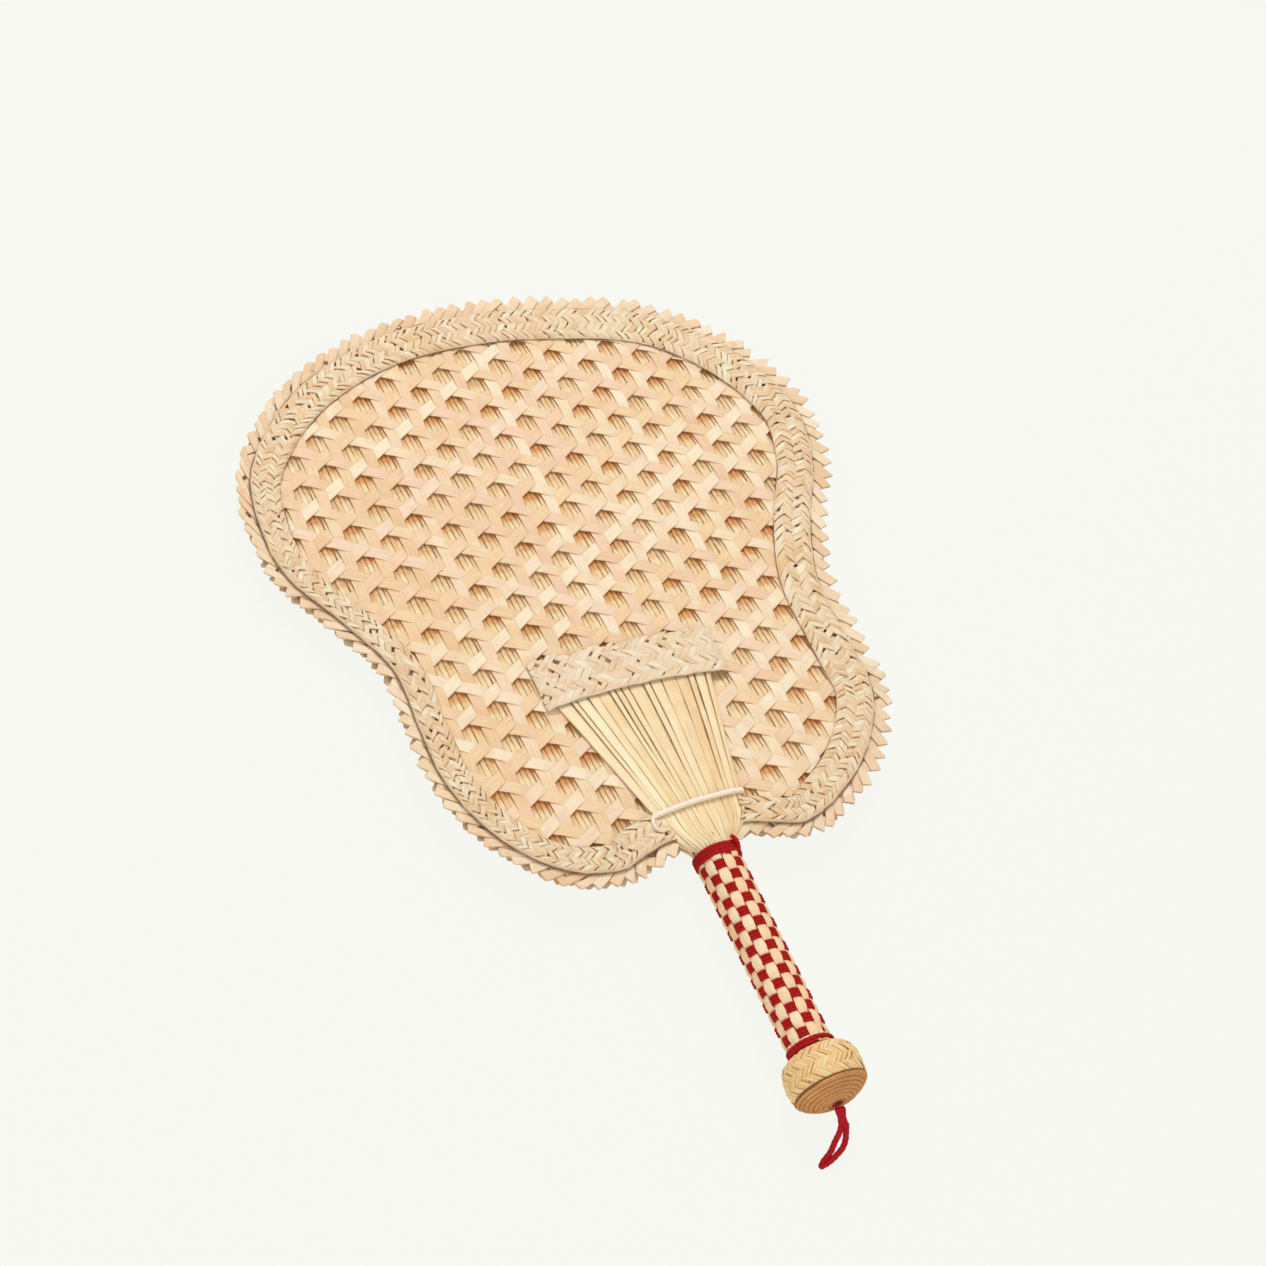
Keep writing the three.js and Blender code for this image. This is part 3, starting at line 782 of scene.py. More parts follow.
@dataclass
class SplintSpray:
    """The split splints that fan out from the grip up to the pocket."""

    spray: Spray
    axes: FanAxes
    count: int = 16
    high_y: float = -66.0
    low_y: float = -160.0
    thickness: float = 0.5
    crown: float = 0.28
    gap: float = 0.3
    least_gap: float = 0.25
    closed_y: float = -142.0
    opening: float = 60.0
    bend_y: float = -132.0
    long_step: float = 4.0
    short_step: float = 1.0
    stagger: float = 0.12

    def build(self, facing: Facing) -> bpy.types.Object:
        """Lays one face's splints.

        Args:
            facing: the face of the blade.

        Returns:
            The piece.
        """
        book = Patchwork(f"{facing.word}_splints", self.axes, facing)
        wander = Wander.on_face(31, facing)
        widths = np.array([wander.about(1, spread=0.42) for _ in range(self.count)])
        bounds = np.concatenate([[0], np.cumsum(widths)]) / widths.sum() - 0.5
        y = np.concatenate([
            np.arange(self.high_y, self.bend_y, -self.long_step),
            np.arange(self.bend_y, self.low_y, -self.short_step),
        ])
        columns = np.array([-1, -0.55, 0, 0.55, 1])
        for number, (left, right) in enumerate(zip(bounds[:-1], bounds[1:])):
            open_share = smooth((y - self.closed_y) / self.opening)
            gap = self.gap * wander.about(1, spread=0.9) * (self.least_gap + open_share)
            wide = gap / (2 * self.spray.foot_half)
            drift = wander.along(y, reach=0.0035, wave=60)
            middle = (left + right) / 2 + drift
            half = (right - left - wide) / 2 * (1 + wander.along(y, reach=0.03, wave=50))
            share = middle[:, None] + half[:, None] * columns
            level = np.repeat(y[:, None], len(columns), axis=1)
            out = self.spray.out(share, level)
            lift = self.thickness + self.stagger * (number % 2) + wander.about(0, spread=0.06)
            height = lift + self.crown * (1 - columns ** 2)
            top = self.spray.at(share, level) + out * height[None, :, None]
            book.lay(top, out, self.thickness)
        return book.build()


@dataclass
class ToothedEdging:
    """Folded strips round the rim whose tips stand out as teeth."""

    rim: Rim
    levels: Levels
    axes: FanAxes
    pitch: float = 6.8
    depth: float = 6.5
    lean: float = 0.42
    spread: float = 1.7
    strip: float = 5.7
    back_short: float = 1.9
    foot: float = -7.0
    blunt: float = 0.28
    thickness: float = 0.4
    crown: float = 0.22
    short: float = 0.15
    uneven: float = 1.4
    wear: float = 0.5
    crisp: float = 3.5
    fold: float = 0.3
    fold_length: float = 3.0
    worn_from: tuple[float, float] = (70.0, -10.0)
    worn_over: tuple[float, float] = (110.0, 60.0)

    def worn(self, share: float) -> float:
        """How much flatter the teeth are: most at the upper left.

        Args:
            share: the share of the way round.

        Returns:
            0 for full teeth to 1 for the flattest.
        """
        x, y = self.rim.at(share, 0.0)
        leftwards = smooth((self.worn_from[0] - x) / self.worn_over[0])
        upwards = smooth((y - self.worn_from[1]) / self.worn_over[1])
        return float(leftwards * upwards)

    def build(
        self, facing: Facing, shift: float, keep: Callable[[np.ndarray], np.ndarray],
    ) -> bpy.types.Object:
        """Folds one face's edging.

        Args:
            facing: the face of the blade.
            shift: how far the teeth are moved along, as a share of their pitch.
            keep: tells which points of the fan stay.

        Returns:
            The piece.
        """
        book = Patchwork(f"{facing.word}_folded_edging", self.axes, facing)
        wander = Wander.on_face(41, facing)
        teeth = round(self.rim.length / self.pitch)
        columns = np.array([0, 0.12, 0.4, 0.75, 1])
        share = np.linspace(0, 1, 9)[:, None] ** 0.8
        for number in range(teeth):
            depth = self.depth - self.short - self.uneven * abs(wander.about(0, spread=1)) ** 1.5
            depth -= self.back_short if facing is Facing.BACK else 0
            tip = (number + shift + self.lean) * self.pitch + wander.about(0, spread=1.2)
            worn = self.worn(tip / (teeth * self.pitch))
            spread = self.spread * (1 + self.wear * worn) * wander.about(1, spread=0.28)
            rise = spread * (self.lean + wander.about(0, spread=0.08))
            fall = spread - rise
            limit = depth - (self.blunt + self.wear * worn) * wander.about(1, spread=0.8)
            strip = self.strip * wander.about(1, spread=0.1)
            for upper in (False, True):
                slope = depth - strip * columns / spread
                top_w = -np.log(np.exp(-self.crisp * slope) + np.exp(-self.crisp * limit)) / self.crisp
                w = self.foot + share * (top_w - self.foot)
                u = tip - rise * (depth - w) + strip * columns
                if upper:
                    u = tip + fall * (depth - w) - strip * columns
                level = self.levels.edging_high if upper else self.levels.edging_low
                bent = smooth((w - depth + self.fold_length) / self.fold_length)
                fold = self.fold * bent * (1 if upper else -1)
                bulge = self.crown * 4 * columns * (1 - columns)
                z = level + self.thickness / 2 + bulge - fold + wander.about(0, spread=0.06)
                flat = self.rim.at(u / (teeth * self.pitch), self.depth - w)
                top = np.dstack([flat, z])
                book.lay_kept(keep(top[:, 1:3].mean(axis=1)), 3, top, OUTWARDS, self.thickness)
        return book.build()


@dataclass
class SewnPlait:
    """The plaited band sewn over the edging, with thin lines of painted shadow along its edges."""

    rim: Rim
    levels: Levels
    axes: FanAxes
    outer: float = 8.2
    inner: float = 21.8
    rounding: float = 0.9
    shadow_cord_radius: float = 0.38
    shadow_cord_depths: tuple[float, float] = (0.95, 0.9)
    shadow_cord_shares: tuple[float, float] = (0.2, 0.72)
    shadow_cord_outside: float = 0.1
    shadow_cord_least: float = 0.12

    def build(self, facing: Facing, keep: Callable[[np.ndarray], np.ndarray]) -> bpy.types.Object:
        """Plaits one face's band.

        Args:
            facing: the face of the blade.
            keep: tells which points of the fan stay.

        Returns:
            The piece.
        """
        book = Patchwork(f"{facing.word}_rim_plait", self.axes, facing)
        middle = (self.outer + self.inner) / 2
        width = self.inner - self.outer
        length = length_of(self.rim.contour(middle, 600))
        plait = FlatPlait(
            width=width, length=length, pitch=2.85, slant=12.5, strip=2.6, rows=4, swing=0.4,
            rings=17, endless=True, untidy=0.75, hook=0.3, borders=(1,), border=0.9,
        )

        def lie(along: np.ndarray, across: np.ndarray, out: np.ndarray) -> np.ndarray:
            """Takes the plait's plane to the rim.

            Args:
                along: distances along the plait.
                across: distances across it.
                out: distances out of it.

            Returns:
                Points of the fan.
            """
            rounded = self.rounding * (2 * across / width) ** 6
            flat = self.rim.at(along / length, middle - across)
            height = self.levels.plait + out - rounded
            return np.dstack([flat, np.broadcast_to(height, flat.shape[:-1])])

        wander = Wander.on_face(51, facing)
        plait.weave(book, wander, lie, keep)
        # Thin cords along both edges of the band, just outside it and sunk below it, given the painted shade
        # colour: painted shadow where the band stands over the weave and the edging, thick in places and
        # gone in others.
        for side, deep, share in zip((-1, 1), self.shadow_cord_depths, self.shadow_cord_shares):
            along = np.linspace(0, length, round(length / 1.5) + 1)
            across = side * (width / 2 + self.shadow_cord_outside) + wander.along(along, reach=0.18, wave=60)
            flat = self.rim.at(along / length, middle - across)
            path = np.column_stack([flat, np.full(len(flat), self.levels.plait - deep)])
            thin = np.clip(share + wander.along(along, reach=0.6, wave=35), 0.0, 1.0)
            for part in runs_of(keep(path) & (thin > self.shadow_cord_least), 3):
                book.wind(path[part], self.shadow_cord_radius, sides=6, widen=thin[part], depth=1.0)
        return book.build()


@dataclass
class PocketPlait:
    """The short plaited bar that holds the splints' upper ends."""

    spray: Spray
    levels: Levels
    axes: FanAxes
    left: float = -38.3
    right: float = 39.7
    top: float = -61.0
    bottom: float = -83.0
    arch: float = 2.5
    end_dip: float = 1.3
    top_dip: float = 0.5
    dip_length: float = 4.0
    end_trim: float = 0.1

    def build(self, facing: Facing) -> bpy.types.Object:
        """Plaits one face's bar.

        Args:
            facing: the face of the blade.

        Returns:
            The piece.
        """
        book = Patchwork(f"{facing.word}_pocket_plait", self.axes, facing)
        wander = Wander.on_face(61, facing)
        length, width = self.right - self.left, self.top - self.bottom
        plait = FlatPlait(
            width=width, length=length, pitch=3.6, slant=20.0, strip=3.5, rows=5, swing=0.26,
            rings=21, untidy=0.8, hook=0.2, ragged=1.8, borders=(-1,), border=1.0,
        )

        def lie(along: np.ndarray, across: np.ndarray, out: np.ndarray) -> np.ndarray:
            """Takes the plait's plane to the bar.

            Args:
                along: distances along the plait.
                across: distances across it.
                out: distances out of it.

            Returns:
                Points of the fan.
            """
            held = np.clip(along, 0, length)
            share = held / length
            rise = 4 * self.arch * share * (1 - share)
            down = (width / 2 - across) / width
            x = self.left + held
            y = self.top - down * (width - rise)
            end = np.minimum(held, length - held)
            below_top = width / 2 - across
            dip = (self.end_dip * (1 - smooth(end / self.dip_length))
                   + self.top_dip * (1 - smooth(below_top / self.dip_length)))
            return np.stack(np.broadcast_arrays(x, y, self.levels.pocket + out - dip), -1)

        def keep(points: np.ndarray) -> np.ndarray:
            """Which points lie between the bar's ends."""
            return (points[:, 0] > self.left + self.end_trim) & (points[:, 0] < self.right - self.end_trim)

        plait.weave(book, wander, lie, keep)
        return book.build()


@dataclass
class Grip:
    """The handle's grip: pale warp straws with a red weft woven over and under them."""

    axes: FanAxes
    top_y: float = -156.8
    bottom_y: float = -241.0
    warps: int = 13
    radius: float = 7.75
    swing: float = 0.5
    turns: int = 15
    weft_top: float = -159.0
    weft_bottom: float = -236.0
    yarns: int = 3
    yarn_radius: float = 0.72
    yarn_pitch: float = 1.22
    straw_step: float = 0.6
    straw_thickness: float = 0.5
    straw_lift: float = 0.25
    straw_crown: float = 0.32
    straw_width: float = 0.95
    straw_pinch: float = 0.07
    bare_above: float = 1.2
    bare_below: float = 1.4
    bare_lift: float = 0.2
    bare_width: float = 1.02

    @property
    def pitch(self) -> float:
        """The weft's climb in one turn."""
        return (self.weft_top - self.weft_bottom) / self.turns

    def build_warps(self) -> bpy.types.Object:
        """Lays the warp straws.

        Returns:
            The piece.
        """
        book = Patchwork("grip_warps", self.axes)
        wander = Wander(71)
        columns = np.array([-1, -0.6, 0, 0.6, 1])
        y = np.arange(self.top_y, self.bottom_y, -self.straw_step)
        for number in range(self.warps):
            turns = (self.weft_top - y) / self.pitch
            phase = np.pi * (turns - number / self.warps) + np.pi * number
            radius = self.radius - self.swing * np.cos(phase) + wander.about(0, spread=0.05)
            beyond = (y > self.weft_top + self.bare_above) | (y < self.weft_bottom - self.bare_below)
            radius = np.where(beyond, self.radius + self.bare_lift, radius)
            angle = 2 * np.pi * number / self.warps + wander.along(y, reach=0.02, wave=30)
            narrow = self.straw_width + self.straw_pinch * np.cos(phase + np.pi)
            narrow = np.where(beyond, self.bare_width, narrow)
            half = np.pi / self.warps * narrow * wander.about(1, spread=0.05)
            turned = angle[:, None] + half[:, None] * columns
            out = np.dstack([np.sin(turned), np.zeros_like(turned), np.cos(turned)])
            reach = radius[:, None] + self.straw_lift + self.straw_crown * (1 - columns ** 2)
            top = out * reach[..., None]
            top[..., 1] = y[:, None]
            book.lay(top, out, self.straw_thickness)
        return book.build()

    def build_weft(self) -> bpy.types.Object:
        """Winds the red weft.

        Returns:
            The piece.
        """
        book = Patchwork("red_weft", self.axes)
        samples = np.linspace(0, self.turns, self.turns * 104 + 1)
        for yarn in range(self.yarns):
            beside = (yarn - (self.yarns - 1) / 2) * self.yarn_pitch
            angle = 2 * np.pi * samples
            radius = self.radius + self.swing * np.cos(np.pi * self.warps * samples)
            y = self.weft_top - self.pitch * samples + beside
            path = round_handle(radius, angle, y)
            book.wind(path, self.yarn_radius, sides=8, plies=2, lay=2.6, groove=0.16)
        return book.build(CORD_CREASE)


@dataclass
class Collar:
    """Turns of red cord wound round the grip at one end.

    The tuck is the cord's own end where it shows, as angle, drop below the top and lift off the turns.
    """

    name: str
    axes: FanAxes
    top_y: float
    radius: float
    turns: float
    pitch: float
    cord_radius: float
    start: float = 0.0
    tuck: tuple[tuple[float, float, float], ...] = ()
    tuck_rise: float = 0.7
    wobble: float = 0.06
    end_width: float = 0.35
    end_pace: float = 12.0

    def build(self) -> bpy.types.Object:
        """Winds the collar.

        Returns:
            The piece.
        """
        book = Patchwork(self.name, self.axes)
        samples = np.linspace(0, self.turns, int(self.turns * 96) + 1)
        angle = 2 * np.pi * samples + self.start
        y = self.top_y - self.cord_radius - self.pitch * samples
        path = round_handle(self.radius + self.wobble * np.sin(7 * angle), angle, y)
        ends = smooth(np.minimum(samples, self.turns - samples) * self.end_pace)
        widths = blend(self.end_width, 1, ends)
        book.wind(path, self.cord_radius, plies=3, lay=5.5, groove=0.3, widen=widths)
        if self.tuck:
            turned, drop, lift = np.array(self.tuck).T
            reach = self.radius + self.tuck_rise * self.cord_radius + lift
            knot = round_handle(reach, turned, self.top_y - drop)
            route = even_steps(smooth_line(knot, closed=False), 0.3)
            swell = 0.6 + 0.6 * np.sin(np.pi * np.linspace(0.05, 0.95, len(route)))
            book.wind(route, self.cord_radius, plies=3, lay=4.0, groove=0.3, widen=swell)
        return book.build(CORD_CREASE)


@dataclass
class Pommel:
    """The coiled knob at the grip's end: a plaited side and a coil of braid underneath."""

    axes: FanAxes
    top_y: float = -241.3
    side: tuple[tuple[float, float], ...] = (
        (8.9, 0.0), (9.6, 0.3), (12.8, 1.9), (14.6, 5.4), (15.1, 10.3), (14.2, 15.2),
    )
    coil_turns: float = 7.0
    coil_radius: float = 0.98
    coil_span: float = 9.9
    coil_fall: float = 4.7
    coil_dome: float = 1.6
    coil_spread: float = 1.25
    coil_lead: float = 0.6
    coil_gap: float = 0.15
    coil_drop: float = 0.1
    end_width: float = 0.3
    end_pace: float = 8.0
    coil_climb: float = 0.8
    coil_start: float = 2.6
    shadow_cord_radius: float = 0.35
    shadow_cord_inset: float = 0.4
    pith_inset: float = 1.1
    pith_drop: float = 0.5
    pith_turns: tuple[float, ...] = (0, 1.5, 3, 5)
    pith_coil_inset: float = 1.4
    pith_coil_drop: float = 0.2
    pith_foot: tuple[float, float] = (1.9, 5.0)
    plait_radius: float = 14.2
    plait_strips: int = 46
    plait_sink: float = 0.84

    @property
    def seam_y(self) -> float:
        """The level where the side meets the coil."""
        return self.top_y - self.side[-1][1]

    def coil_at(self, turns: np.ndarray) -> tuple[np.ndarray, np.ndarray]:
        """How far the coil has come in and down after some turns, as a low dome.

        Args:
            turns: the turns from the seam.

        Returns:
            The distances inwards and downwards.
        """
        share = turns / self.coil_turns
        inwards = self.coil_span * share ** self.coil_spread
        return inwards, self.coil_fall * (1 - (1 - share) ** self.coil_dome)

    def profile(self) -> np.ndarray:
        """The side's line from the neck to the seam.

        Returns:
            Its points, as radius and level.
        """
        points = smooth_line(np.array(self.side, float), closed=False, pieces=12)
        line = even_steps(points, 0.5)
        return np.stack([line[:, 0], self.top_y - line[:, 1]], -1)

    def build_side(self) -> bpy.types.Object:
        """Plaits the side.

        Returns:
            The piece.
        """
        book = Patchwork("pommel_plait", self.axes)
        line = self.profile()
        steps = distances(line)
        height = float(steps[-1])
        slope = unit(np.gradient(line, axis=0))
        length = 2 * math.pi * self.plait_radius
        plait = FlatPlait(
            width=height, length=length, pitch=length / self.plait_strips, slant=0.19 * length, strip=1.95,
            rows=5, swing=0.34, thickness=0.4, crown=0.2, rings=23, endless=True, untidy=0.35,
            hook=0.1, borders=(),
        )

        def lie(along: np.ndarray, across: np.ndarray, out: np.ndarray) -> np.ndarray:
            """Takes the plait's plane round the knob.

            Args:
                along: distances along the plait.
                across: distances across it.
                out: distances out of it.

            Returns:
                Points of the fan.
            """
            place = across + height / 2
            radius, y = (np.interp(place, steps, line[:, k]) for k in (0, 1))
            fall_r, fall_y = (np.interp(place, steps, slope[:, k]) for k in (0, 1))
            angle = 2 * np.pi * along / length
            lift = out - self.plait_sink
            return round_handle(radius - fall_y * lift, angle, y + fall_r * lift)

        plait.weave(book, Wander(81), lie)
        return book.build()

    def build_coil(self) -> bpy.types.Object:
        """Winds the braid underneath, and a thin ring of painted shade in the groove where it meets the
        side.

        Returns:
            The piece.
        """
        book = Patchwork("pommel_braid_coil", self.axes)
        samples = np.linspace(-self.coil_lead, self.coil_turns, 980)
        inwards, down = self.coil_at(np.maximum(samples, 0))
        radius = self.side[-1][0] - self.coil_radius - self.coil_gap - inwards
        y = self.seam_y - self.coil_drop - self.coil_radius - down + self.coil_climb * np.minimum(samples, 0)
        angle = 2 * np.pi * samples + self.coil_start
        path = round_handle(radius, angle, y + self.coil_climb)
        ends = smooth(np.minimum(samples + self.coil_lead, self.coil_turns - samples) * self.end_pace)
        widths = blend(self.end_width, 1, ends)
        book.wind(path, self.coil_radius, plies=3, lay=3.4, groove=0.5, widen=widths)
        # A thin ring sunk in the groove where the side meets the coil, given the painted shade colour:
        # painted shade in that groove.
        angle = np.linspace(0, 2 * np.pi, 121)
        seam = round_handle(self.side[-1][0] - self.shadow_cord_inset, angle, self.seam_y)
        book.wind(seam, self.shadow_cord_radius, sides=8, depth=1.0)
        return book.build(CORD_CREASE)

    def build_base(self) -> bpy.types.Object:
        """Turns the pith body that the plait and the coil lie on.

        Returns:
            The piece.
        """
        stations = [
            (radius - self.pith_inset, self.top_y - drop - self.pith_drop) for radius, drop in self.side[1:]
        ]
        for turn in (*self.pith_turns, self.coil_turns):
            inwards, down = self.coil_at(turn)
            radius = self.side[-1][0] - self.pith_coil_inset - inwards
            stations.append((radius, self.seam_y - self.pith_coil_drop - down))
        stations.append((self.pith_foot[0], self.seam_y - self.pith_foot[1]))
        bpy.ops.object.select_all(action="DESELECT")
        bpy.ops.mesh.primitive_circle_add(
            vertices=64, radius=stations[0][0] * MM, fill_type="NGON", location=(0, 0, 0),
        )
        piece = bpy.context.active_object
        piece.name = "pommel_pith"
        bpy.ops.object.mode_set(mode="EDIT")
        bpy.ops.mesh.select_all(action="SELECT")
        for (wide, high), (narrow, low) in zip(stations, stations[1:]):
            bpy.ops.mesh.extrude_region_move(TRANSFORM_OT_translate={"value": (0, 0, (low - high) * MM)})
            bpy.ops.transform.resize(value=(narrow / wide, narrow / wide, 1), center_override=(0, 0, 0))
        bpy.ops.mesh.select_all(action="SELECT")
        bpy.ops.mesh.normals_make_consistent(inside=False)
        bpy.ops.object.mode_set(mode="OBJECT")
        points = np.array([v.co for v in piece.data.vertices]) / MM
        turned = np.stack([points[:, 0], points[:, 2] + stations[0][1], -points[:, 1]], -1)
        piece.data.vertices.foreach_set("co", self.axes.place(turned).astype(np.float32).ravel())
        piece.data.update()
        bpy.ops.object.shade_smooth_by_angle(angle=math.radians(30))
        return piece


@dataclass
class BindingThread:
    """The off-white thread that ties the splints to the blade."""

    spray: Spray
    axes: FanAxes
    radius: float = 1.12
    bore_radius: float = 0.6
    y: float = -135.8
    tilt: float = 1.0
    bow: float = 1.0
    clearance: float = 0.3
    splint_top: float = 2.9
    lift: float = 0.25
    tail_share: float = 0.85
    tail: tuple[tuple[float, float, float], ...] = (
        (0.0, 0.0, -1.2), (-1.1, -1.2, 0.3), (-1.9, -3.4, 0.5), (-1.6, -5.8, 0.2),
    )

    def bore(self, side: int) -> tuple[float, float]:
        """Where the thread goes through the blade on one side.

        Args:
            side: -1 for the left and 1 for the right.

        Returns:
            The place across the blade and the level.
        """
        y = self.y + side * self.tilt
        centre, half = self.spray.breadth(y)
        return centre + side * (half + self.clearance + self.bore_radius), y

    def build(self) -> bpy.types.Object:
        """Ties the thread.

        Returns:
            The piece.
        """
        face = self.splint_top + self.radius + self.lift
        bend = self.radius + self.clearance
        (left_x, left_y), (right_x, right_y) = self.bore(-1), self.bore(1)

        def side(x: float, y: float, level: int) -> list[tuple[float, float, float]]:
            """The bend from the face into the blade.

            Args:
                x: the bore's place across the blade.
                y: its level.
                level: 1 on the front and -1 on the back.

            Returns:
                Its corners, from the face inwards.
            """
            sign = math.copysign(1, x)
            return [
                (x - sign * 2 * bend, y + self.bow / 4, level * face),
                (x - sign * bend / 2, y, level * (face - 0.3 * bend)),
                (x, y, level * (face - 1.8 * bend)),
            ]

        corners = [
            (self.clearance, self.y + self.bow, -face), *side(right_x, right_y, -1),
            (right_x, right_y, 0), *side(right_x, right_y, 1)[::-1],
            (0, self.y + self.bow, face), *side(left_x, left_y, 1), (left_x, left_y, 0),
            *side(left_x, left_y, -1)[::-1], (-self.clearance, self.y + self.bow, -face),
        ]
        path = even_steps(smooth_line(np.array(corners, float), closed=False), 0.4)
        book = Patchwork("tying_thread", self.axes)
        book.wind(path, self.radius, plies=3, lay=7.0, groove=0.2)
        tail = np.array([left_x, left_y, face]) + np.array(self.tail)
        route = even_steps(smooth_line(tail, closed=False), 0.35)
        thin = np.linspace(1, 0.55, len(route))
        book.wind(route, self.tail_share * self.radius, plies=3, lay=5.0, groove=0.3, widen=thin)
        return book.build(CORD_CREASE)


@dataclass
class HangingCord:
    """The red cord loop below the pommel and the bound neck that it hangs from."""

    axes: FanAxes
    mouth_y: float = -264.9
    cord_radius: float = 1.16
    parting: float = 1.0
    neck_radius: float = 2.05
    neck_length: float = 4.6
    neck_head: tuple[float, float, float] = (0.0, 1.2, 0.3)
    neck_foot: tuple[float, float, float] = (-0.3, 0.0, 0.0)
    neck_overlap: float = 1.6
    softenings: int = 6
    droop: float = 0.6
    clearance: float = 0.3
    stations: tuple[tuple[float, float, float, float], ...] = (
        (-0.4, -6.0, -5.0, 1.15), (-0.9, -7.3, -7.0, 1.5), (-2.0, -8.7, -9.3, 1.7),
        (-3.4, -9.8, -11.3, 1.3), (-5.3, -10.9, -12.9, 1.0), (-7.6, -11.8, -13.9, 0.8),
    )
    tip: tuple[float, float, float] = (-9.7, -12.7, -14.6)

    @property
    def mouth(self) -> np.ndarray:
        """Where the neck turns in the pommel's mouth."""
        return np.array([0, self.mouth_y, 0])

    @property
    def leaving(self) -> np.ndarray:
        """The neck's direction."""
        return unit(np.array([0, -1, -self.droop]))

    def start(self, side: int) -> np.ndarray:
        """Where one leg leaves the neck."""
        return (self.mouth + self.leaving * (self.neck_length + self.clearance)
                + np.array([side * self.parting, 0, 0]))

    def route(self) -> np.ndarray:
        """The loop's middle line.

        Returns:
            Its points, from where the cord leaves the neck to where it comes back.
        """
        middles = [np.array(s[:3]) + self.mouth for s in self.stations]
        tip = np.array(self.tip) + self.mouth

        def leg(side: int) -> list[np.ndarray]:
            """One side of the loop.

            Args:
                side: 1 or -1, for the leg.

            Returns:
                Its corners, from the neck to the tip.
            """
            points = []
            for place, middle in enumerate(middles):
                ahead = (middles[place + 1] if place + 1 < len(middles) else tip) - middle
                across = unit(np.array([-ahead[1], ahead[0], 0]))
                points.append(middle + across * side * self.stations[place][3])
            return points

        corners = [self.start(1), *leg(1), tip, *leg(-1)[::-1], self.start(-1)]
        line = even_steps(smooth_line(np.array(corners), closed=False), 0.35)
        for _ in range(self.softenings):
            line[1:-1] = (line[:-2] + 2 * line[1:-1] + line[2:]) / 4
        return line

    def build_loop(self) -> bpy.types.Object:
        """Makes the loop.

        Returns:
            The piece.
        """
        book = Patchwork("red_hanging_loop", self.axes)
        route = self.route()
        from_tip = np.abs(np.linspace(-1, 1, len(route)))
        narrow = 0.8 + 0.2 * smooth(from_tip / 0.3)
        book.wind(route, self.cord_radius, plies=3, lay=6.0, groove=0.14, widen=narrow)
        return book.build(CORD_CREASE)

    def build_neck(self) -> bpy.types.Object:
        """Makes the neck, where the doubled cord is twisted into one.

        Returns:
            The piece.
        """
        book = Patchwork("red_loop_neck", self.axes)
        head = self.mouth + np.array(self.neck_head)
        foot = self.mouth + self.leaving * (self.neck_length + self.neck_overlap) + np.array(self.neck_foot)
        path = even_steps(np.array([head, foot]), 0.3)
        taper = np.linspace(1, 0.8, len(path))
        taper[-4:] *= (0.97, 0.9, 0.75, 0.4)
        taper[:3] *= (0.72, 0.88, 0.96)
        book.wind(path, self.neck_radius, sides=16, plies=2, lay=11.0, groove=0.18, widen=taper)
        return book.build(CORD_CREASE)


@dataclass(frozen=True)
class StripFinish:
    """Dry plant strip: fine fibres along it, uneven tones from strip to strip, darker edges that are partly
    the straw's own and partly painted shade between strips, and a painted shade colour where a piece marks
    its points as shaded.
    """

    name: str
    tones: tuple[tuple[int, int, int], ...]
    edge: tuple[int, int, int] = (196, 146, 96)
    streak: float = 0.16
    roughness: float = 0.62
    relief: float = 0.35
    edge_share: float = 0.45
    patch: float = 1.0
    deep: tuple[int, int, int] | None = None
    uneven: float = 0.0
    bleed: float = 0.2

    def material(self) -> bpy.types.Material:
        """Makes the material.

        Returns:
            The new material.
        """
        sheet = ShaderSheet(self.name)
        along, across, number = sheet.strip_places()
        tones = [from_screen(*tone) for tone in self.tones]
        main_tone = sheet.ramp(sheet.chance(number, 3.1), tones)
        patch_tone = sheet.ramp(sheet.chance(number, 9.7), tones[::-1])
        patches = sheet.noise(sheet.pack(sheet.times(along, self.patch), number), 2.0)
        patched = sheet.mix(main_tone, patch_tone, sheet.rise(patches, 0.4, 0.75))
        grain = sheet.pack(sheet.times(along, 0.9), sheet.times(across, 26.0), number)
        fibres = sheet.noise(grain, 3.0)
        threads = sheet.rise(fibres, 0.35, 0.75)
        shaded = sheet.multiply(patched, threads, 1 - self.streak, 1.04)
        # Darker towards each strip's edges: partly the straw's own darker edges, partly painted shade where
        # strips meet and pass under one another.
        rim = sheet.rise(sheet.off_middle(across), 0.7, 0.96)
        edged = sheet.mix(shaded, from_screen(*self.edge), sheet.times(rim, self.edge_share))
        # Painted shade: where a piece marks its points as lying in shade, the shade colour is mixed in, less
        # in some places than in others by slow clouds.
        if self.deep:
            clouds = sheet.rise(sheet.noise(sheet.stretched((62.0, 62.0, 62.0)), 0.0), 0.4, 0.62)
            depth = sheet.times(sheet.painted_shade(), sheet.plus(sheet.times(clouds, -self.uneven), 0.85))
            edged = sheet.mix(edged, from_screen(*self.deep), depth)
        sheet.dress(edged, self.roughness, fibres, self.relief)
        sheet.bleed(self.bleed)
        return sheet.material


@dataclass(frozen=True)
class SolidFinish:
    """A plain solid piece under the strips: fibres along the handle, worked out in the model's axes."""

    name: str
    body: tuple[int, int, int]
    dark: tuple[int, int, int]
    roughness: float = 0.75
    relief: float = 0.4

    def material(self) -> bpy.types.Material:
        """Makes the material.

        Returns:
            The new material.
        """
        sheet = ShaderSheet(self.name)
        fibres = sheet.noise(sheet.stretched((900.0, 60.0, 900.0)), 3.0)
        colour = sheet.mix(from_screen(*self.dark), from_screen(*self.body), sheet.rise(fibres, 0.35, 0.65))
        sheet.dress(colour, self.roughness, fibres, self.relief)
        return sheet.material


